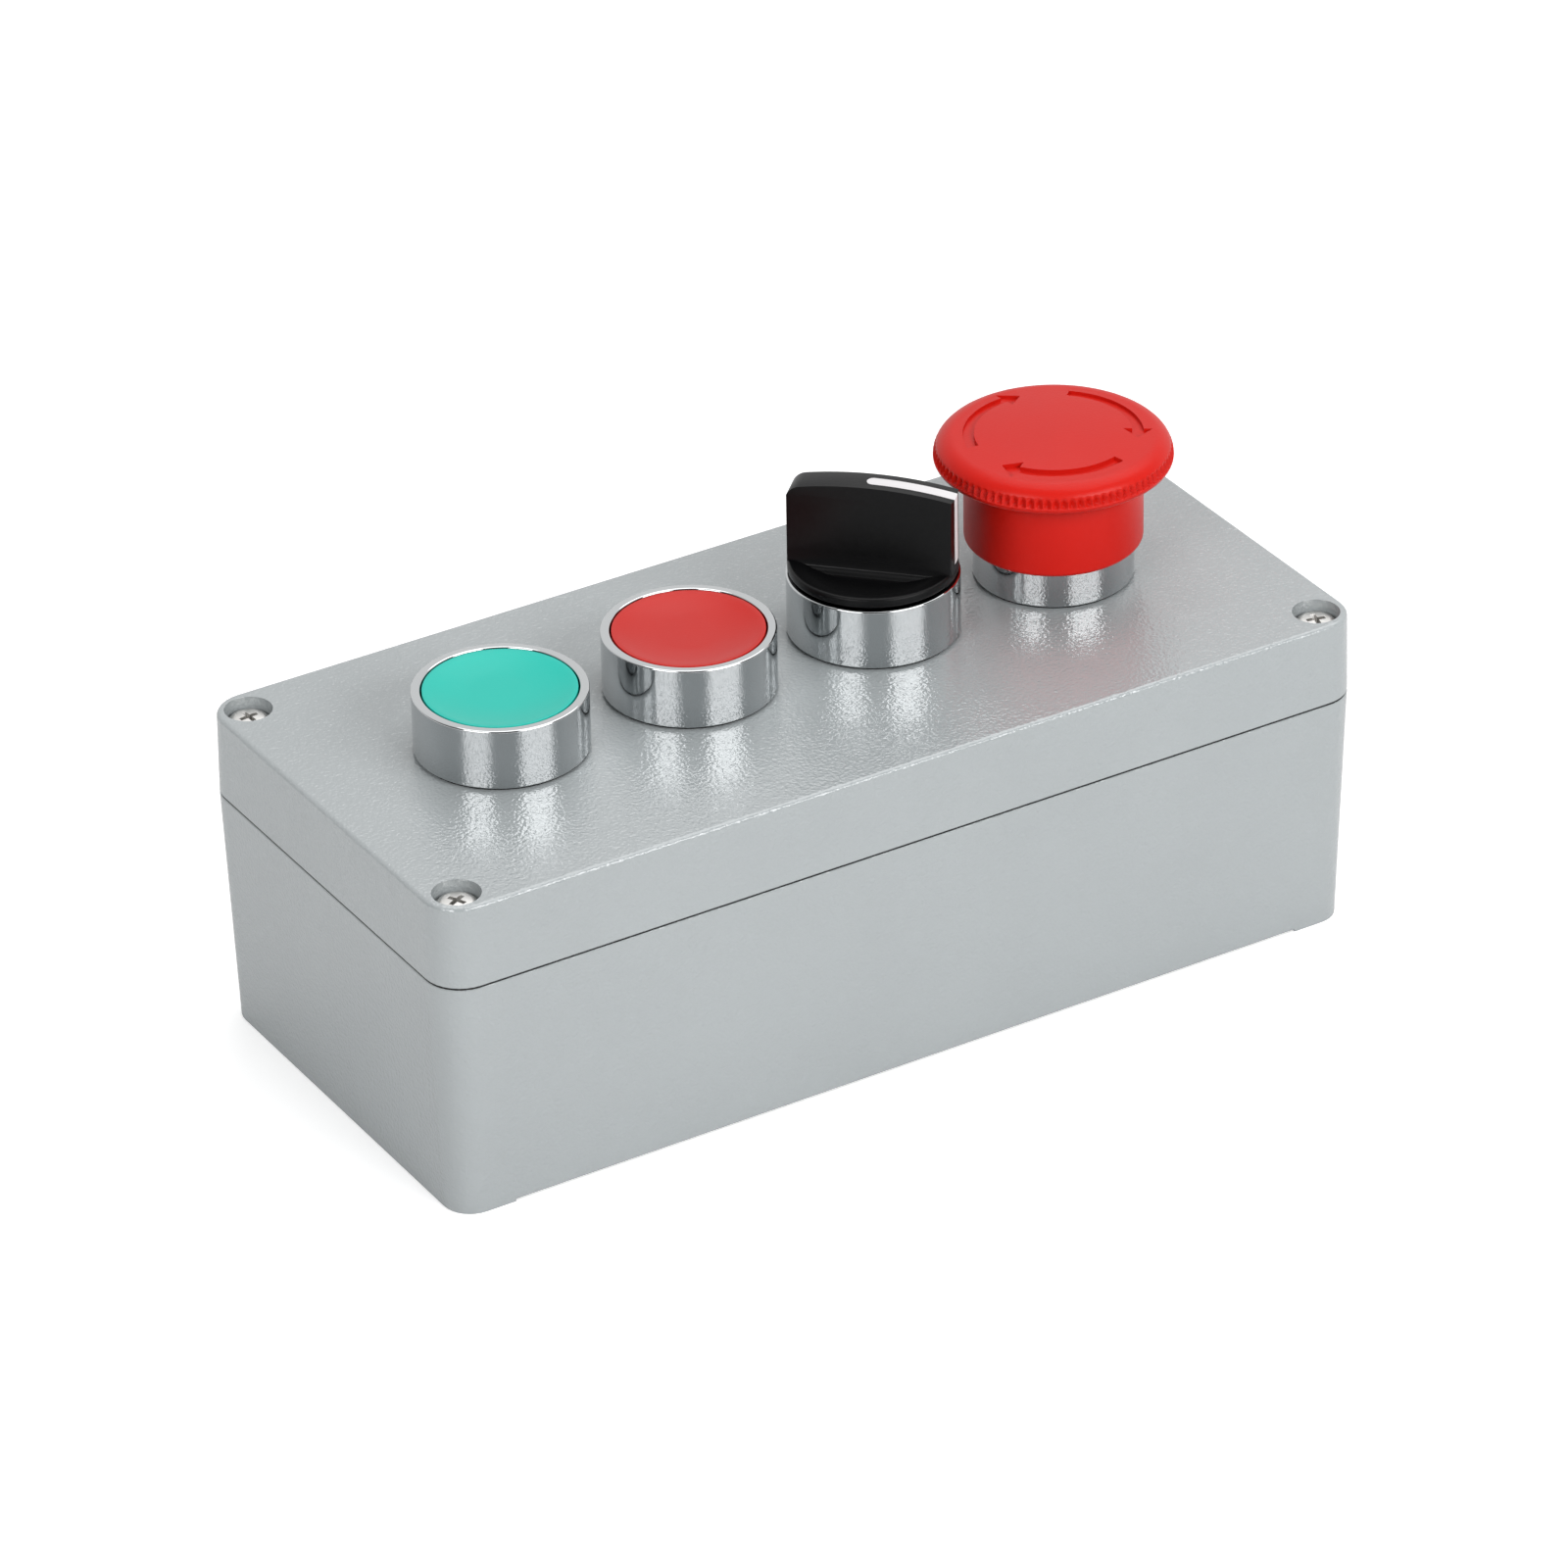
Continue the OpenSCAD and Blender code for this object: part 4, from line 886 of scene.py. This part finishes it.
    def pointer(self) -> None:
        """Makes the white stripe, flush with the handle over its top and down its end."""
        shell = self.slab(self.inlay_proud)
        carved(shell, self.rod(self.base_r + self.inlay_reach), "INTERSECT")
        w, past_end, past_top = self.pointer_half, 2, 20
        near, far = -self.pointer_start, self.base_r + past_end
        bm = bmesh.new()
        rounded_wire(bm, [(near, -w), (far, -w), (far, w), (near, w)], [0.99 * w, 0, 0, 0.99 * w], True, 10)
        bmesh.ops.contextual_create(bm, geom=bm.edges[:])
        bmesh.ops.rotate(bm, cent=(0, 0, 0), matrix=Matrix.Rotation(math.radians(90), 3, "X"),
                         verts=bm.verts)
        bmesh.ops.translate(bm, vec=(0, 0, self.pointer_foot * MM), verts=bm.verts)
        extruded(bm, (0, 0, past_top))
        stripe = finished("stripe_tool", bm, "pointer_white", self.place @ self.turn)
        carved(shell, stripe, "INTERSECT")
        core = self.slab(-self.inlay_depth)
        carved(core, self.rod(self.base_r - self.inlay_depth), "INTERSECT")
        carved(shell, core)
        shell.name = "selector_pointer_inlay"
        shell.data.materials.clear()
        shell.data.materials.append(finish_of("pointer_white"))
        crisp(shell, Shading.CAST)
        settle(shell, "selector_handle", "selector_pointer")

    def build(self) -> None:
        """Makes the body, the gasket, the handle and the pointer."""
        super().build()
        self.handle()
        self.pointer()


@dataclass
class StopButton(Operator):
    """Operator with a ribbed mushroom head that carries three turn arrows."""

    ring_r: float = 13.5
    ring_top: float = 71.5
    well_r: float = 10.0
    gasket_r: float = 13.05
    head_r: float = 20.0
    widest_z: float = 80.3
    edge_r: float = 3.6
    low_r: float = 1.1
    top_z: float = 84.7
    crown_r: float = 9.5
    crown_fall: float = 0.27
    skirt_r: float = 15.0
    skirt_z: float = 64.8
    skirt_bore_r: float = 14.0
    under_z: float = 79.7
    hub_r: float = 7.5
    hub_z: float = 68.2
    socket_r: float = 5.05
    rib_levels: tuple[float, ...] = (
        79.8, 80.1, 80.3, 80.38, 80.46, 80.54, 80.65, 81.0, 81.4, 81.6, 81.8, 82.0, 82.2, 82.4)
    rib_count: int = 90
    rib_depth: float = 0.72
    rib_low: float = 80.3
    rib_top: float = 82.2
    rib_rise: float = 0.3
    rib_fade: float = 0.8
    arrow_r: float = 14.1
    arrow_w: float = 1.9
    arrow_depth: float = 0.65
    arrow_fall: float = 0.6
    arrow_tail: float = 167.0
    arrow_sweep: float = 87.0
    arrow_head: float = 12.5
    arrow_head_w: float = 4.9

    def head(self) -> bpy.types.Object:
        """Turns the head and presses its ribs in.

        Returns:
            The head, without its arrows.
        """
        r, er, lr = self.head_r, self.edge_r, self.low_r
        crown, low, under = self.widest_z + er, self.widest_z - lr, self.under_z
        bm = bmesh.new()
        rounded_wire(bm, [(0, self.top_z), (self.crown_r, self.top_z - self.crown_fall), (r - er, crown),
                          (r, crown), (r, low), (self.skirt_r, low), (self.skirt_r, self.skirt_z),
                          (self.skirt_bore_r, self.skirt_z), (self.skirt_bore_r, under), (self.hub_r, under),
                          (self.hub_r, self.hub_z), (self.socket_r, self.hub_z), (self.socket_r, under),
                          (0, under)],
                     [0, 4.0, 0, er - 0.01, lr, 0.6, 0.9, 0.1, 0, 0, 0.3, 0.3, 0, 0], False, 9)
        for level in self.rib_levels:
            sliced(bm, (0, 0, level * MM), (0, 0, 1))
        bmesh.ops.spin(bm, geom=[*bm.verts, *bm.edges], cent=(0, 0, 0), axis=(0, 0, 1), dvec=(0, 0, 0),
                       angle=FULL_TURN, steps=self.rib_count * 6, use_merge=True, use_duplicate=False)
        bmesh.ops.remove_doubles(bm, verts=bm.verts, dist=0.000004)
        bmesh.ops.recalc_face_normals(bm, faces=bm.faces)
        for v in bm.verts:
            radius = math.hypot(v.co.x, v.co.y)
            z = v.co.z / MM
            if radius > (self.skirt_r + 1.6) * MM and self.rib_low < z < self.rib_top:
                wave = 0.5 - 0.5 * math.cos(math.atan2(v.co.y, v.co.x) * self.rib_count)
                fade = min(1.0, (self.rib_top - z) / self.rib_fade, (z - self.rib_low) / self.rib_rise)
                pull = 1 - self.rib_depth * MM * wave * fade / radius
                v.co.x *= pull
                v.co.y *= pull
        return finished("stop_head_shell", bm, "stop_red", self.place)

    def arrow(self, tail: float) -> Iterable[bpy.types.Object]:
        """Makes the tools that press one arrow in.

        Args:
            tail: Angle of the arrow's tail, in degrees.

        Yields:
            The arrowhead, then the band along an arc behind it.
        """
        floor = (self.top_z - self.arrow_fall - self.arrow_depth) * MM
        turn = math.radians(tail - self.arrow_sweep + self.arrow_head)
        point = math.radians(tail - self.arrow_sweep)
        past_top, overlap = 3, 0.5
        wide = self.arrow_head_w / 2
        bm = bmesh.new()
        bm.faces.new([bm.verts.new((r * MM * math.cos(a), r * MM * math.sin(a), floor)) for r, a in (
            (self.arrow_r - wide, turn), (self.arrow_r + wide, turn), (self.arrow_r, point))])
        extruded(bm, (0, 0, past_top))
        yield finished("arrow_tip_tool", bm, "stop_red", self.place)
        half = self.arrow_w / 2
        bm = bmesh.new()
        bm.edges.new([bm.verts.new(((self.arrow_r + s * half) * MM, 0, floor)) for s in (-1, 1)])
        bmesh.ops.rotate(bm, cent=(0, 0, 0), matrix=Matrix.Rotation(math.radians(tail), 3, "Z"),
                         verts=bm.verts)
        bmesh.ops.spin(bm, geom=[*bm.verts, *bm.edges], cent=(0, 0, 0), axis=(0, 0, 1), dvec=(0, 0, 0),
                       angle=-math.radians(self.arrow_sweep - self.arrow_head + overlap), steps=24,
                       use_merge=False, use_duplicate=False)
        extruded(bm, (0, 0, past_top))
        yield finished("arrow_band_tool", bm, "stop_red", self.place)

    def build(self) -> None:
        """Makes the body, the gasket and the head with its arrows."""
        super().build()
        head = self.head()
        for k in range(3):
            for tool in self.arrow(self.arrow_tail - 120 * k):
                carved(head, tool)
        crisp(head, Shading.ROUND)
        settle(head, "stop_head", "stop_mushroom")


def finish_cad_pieces(replaced: Iterable[str]) -> None:
    """Gives every CAD piece that keeps its shape its own finish.

    Args:
        replaced: Nodes that a piece of this scene stands for.
    """
    for entry in frame["record"]["subparts"]:
        if entry["node"] in replaced:
            continue
        node = frame["nodes"][entry["node"]]
        node.data.materials.clear()
        node.data.materials.append(finish_of(entry["material_slot"]))
        LOG.info("%s is %s", entry["node"], entry["material_slot"])


# ---------------------------------------------------------------- stage


@dataclass(frozen=True)
class Lamp:
    """A soft box: direction in degrees, counted from the camera's, and the rest in metres and watts."""

    name: str
    azimuth: float
    height: float
    away: float
    width: float
    tall: float
    power: float


@dataclass
class Studio:
    """Camera, lamps, pale surroundings and floor."""

    eye: tuple[float, float, float] = (-626.98, -1045.28, 754.75)
    forward: tuple[float, float, float] = (0.442339, 0.738528, -0.508834)
    right: tuple[float, float, float] = (0.85248, -0.522474, -0.017249)
    focal: float = 8723.95
    frame_px: float = 1600.0
    sensor_mm: float = 36.0
    floor_half: float = 6.0
    lamps: tuple[Lamp, ...] = (
        Lamp("left_box", azimuth=-32.0, height=32.0, away=1.5, width=0.75, tall=0.5, power=7.8),
        Lamp("right_box", azimuth=46.0, height=32.0, away=1.5, width=1.05, tall=0.6, power=13.6),
        Lamp("top_box", azimuth=150.0, height=70.0, away=1.6, width=1.6, tall=1.6, power=14.5))

    def camera(self) -> None:
        """Sets the camera to the photograph's place and angle."""
        data = bpy.data.cameras.new("camera")
        data.sensor_width = self.sensor_mm
        data.lens = self.focal / self.frame_px * self.sensor_mm
        data.clip_start = 0.05
        camera = bpy.data.objects.new("camera", data)
        bpy.context.scene.collection.objects.link(camera)
        ahead, side = Vector(self.forward).normalized(), Vector(self.right).normalized()
        up = side.cross(ahead)
        camera.matrix_world = Matrix.Translation(Vector(self.eye) * MM) @ Matrix(
            (side, up, -ahead)).transposed().to_4x4()
        bpy.context.scene.camera = camera

    def light(self) -> None:
        """Places the soft boxes on the camera's side, and one over the object."""
        front = math.atan2(-self.forward[1], -self.forward[0])
        for lamp in self.lamps:
            data = bpy.data.lights.new(lamp.name, "AREA")
            data.shape = "RECTANGLE"
            data.size = lamp.width
            data.size_y = lamp.tall
            data.energy = lamp.power
            box = bpy.data.objects.new(lamp.name, data)
            bpy.context.scene.collection.objects.link(box)
            a, e = front + math.radians(lamp.azimuth), math.radians(lamp.height)
            spot = Vector((math.cos(a) * math.cos(e), math.sin(a) * math.cos(e), math.sin(e)))
            inwards = spot.to_track_quat("Z", "Y").to_matrix().to_4x4()
            box.matrix_world = Matrix.Translation(spot * lamp.away) @ inwards

    def surroundings(self) -> None:
        """Lights the world: white behind, a dim room in front for the bright rings to show."""
        world = bpy.data.worlds.new("studio")
        bpy.context.scene.world = world
        world.use_nodes = True
        tree = world.node_tree
        tree.nodes.clear()
        out = node_at(tree, "ShaderNodeOutputWorld", 4, 0)
        soft = node_at(tree, "ShaderNodeBackground", 1, 1, Color=(1.0, 1.0, 1.0, 1), Strength=0.3)
        seen = node_at(tree, "ShaderNodeBackground", 1, 0, Color=(1.0, 1.0, 1.0, 1), Strength=1.0)
        glare = node_at(tree, "ShaderNodeBackground", 1, -1)
        path = node_at(tree, "ShaderNodeLightPath", 0, 2)
        place = node_at(tree, "ShaderNodeTexCoord", -3, -1)
        facing = node_at(tree, "ShaderNodeVectorMath", -2, -1, operation="DOT_PRODUCT")
        flat = Vector((self.forward[0], self.forward[1], 0)).normalized()
        facing.inputs[1].default_value = (flat.x, flat.y, 0.35)
        ramp = node_at(tree, "ShaderNodeMapRange", -1, -1, From_Min=-0.1, From_Max=0.6, To_Min=0.1,
                       To_Max=1.25)
        shine = node_at(tree, "ShaderNodeMixShader", 2, 0)
        shown = node_at(tree, "ShaderNodeMixShader", 3, 0)
        clear = node_at(tree, "ShaderNodeMath", 1, 2, operation="MAXIMUM")
        link_all(
            tree,
            (place.outputs["Generated"], facing.inputs[0]), (facing.outputs["Value"], ramp.inputs["Value"]),
            (ramp.outputs["Result"], glare.inputs["Strength"]),
            (path.outputs["Is Glossy Ray"], shine.inputs["Fac"]),
            (soft.outputs["Background"], shine.inputs[1]), (glare.outputs["Background"], shine.inputs[2]),
            (path.outputs["Is Camera Ray"], clear.inputs[0]),
            (path.outputs["Is Transmission Ray"], clear.inputs[1]),
            (clear.outputs["Value"], shown.inputs["Fac"]),
            (shine.outputs["Shader"], shown.inputs[1]), (seen.outputs["Background"], shown.inputs[2]),
            (shown.outputs["Shader"], out.inputs["Surface"]))

    def floor(self) -> None:
        """Lays the pale floor under the object."""
        bm = bmesh.new()
        bmesh.ops.create_grid(bm, x_segments=1, y_segments=1, size=self.floor_half)
        mesh = bpy.data.meshes.new("floor")
        bm.to_mesh(mesh)
        bm.free()
        made = bpy.data.materials.new("pale_floor")
        made.use_nodes = True
        tree = made.node_tree
        tree.nodes.clear()
        out = node_at(tree, "ShaderNodeOutputMaterial", 4, 0)
        matt = node_at(tree, "ShaderNodeBsdfDiffuse", 1, 0, Color=(0.86, 0.86, 0.86, 1))
        glow = node_at(tree, "ShaderNodeEmission", 1, 1, Color=(1.0, 1.0, 1.0, 1), Strength=0.42)
        both = node_at(tree, "ShaderNodeAddShader", 2, 0)
        seen = node_at(tree, "ShaderNodeMixShader", 3, 0)
        path = node_at(tree, "ShaderNodeLightPath", 1, 2)
        link_all(tree, (matt.outputs["BSDF"], both.inputs[0]), (glow.outputs["Emission"], both.inputs[1]),
                 (path.outputs["Is Camera Ray"], seen.inputs["Fac"]),
                 (matt.outputs["BSDF"], seen.inputs[1]), (both.outputs["Shader"], seen.inputs[2]),
                 (seen.outputs["Shader"], out.inputs["Surface"]))
        mesh.materials.append(made)
        floor = bpy.data.objects.new("floor", mesh)
        bpy.context.scene.collection.objects.link(floor)

    def build(self) -> None:
        """Makes the whole stage."""
        self.camera()
        self.light()
        self.surroundings()
        self.floor()
        bpy.context.scene.view_settings.view_transform = "Standard"


def main() -> None:
    """Builds the finishes, the pieces and the stage in order."""
    logging.basicConfig(level=logging.INFO, format="%(name)s: %(message)s")
    Studio().build()
    relief, handling = relief_group(), handling_group()
    for finish in FINISHES:
        finish.material(relief)
    for metal in METALS:
        metal.material(handling)
    Enclosure().build()
    PushButton("green", -53.1).build()
    PushButton("red", -17.7).build()
    Selector("selector", 17.7).build()
    StopButton("stop", 53.1).build()
    finish_cad_pieces({
        "enclosure_base", "enclosure_lid", "lid_screws", "green_body", "green_gasket", "green_cap",
        "red_body", "red_gasket", "red_cap", "selector_body", "selector_gasket", "selector_knob",
        "selector_pointer", "stop_body", "stop_gasket", "stop_mushroom"})


if __name__ == "__main__":
    main()
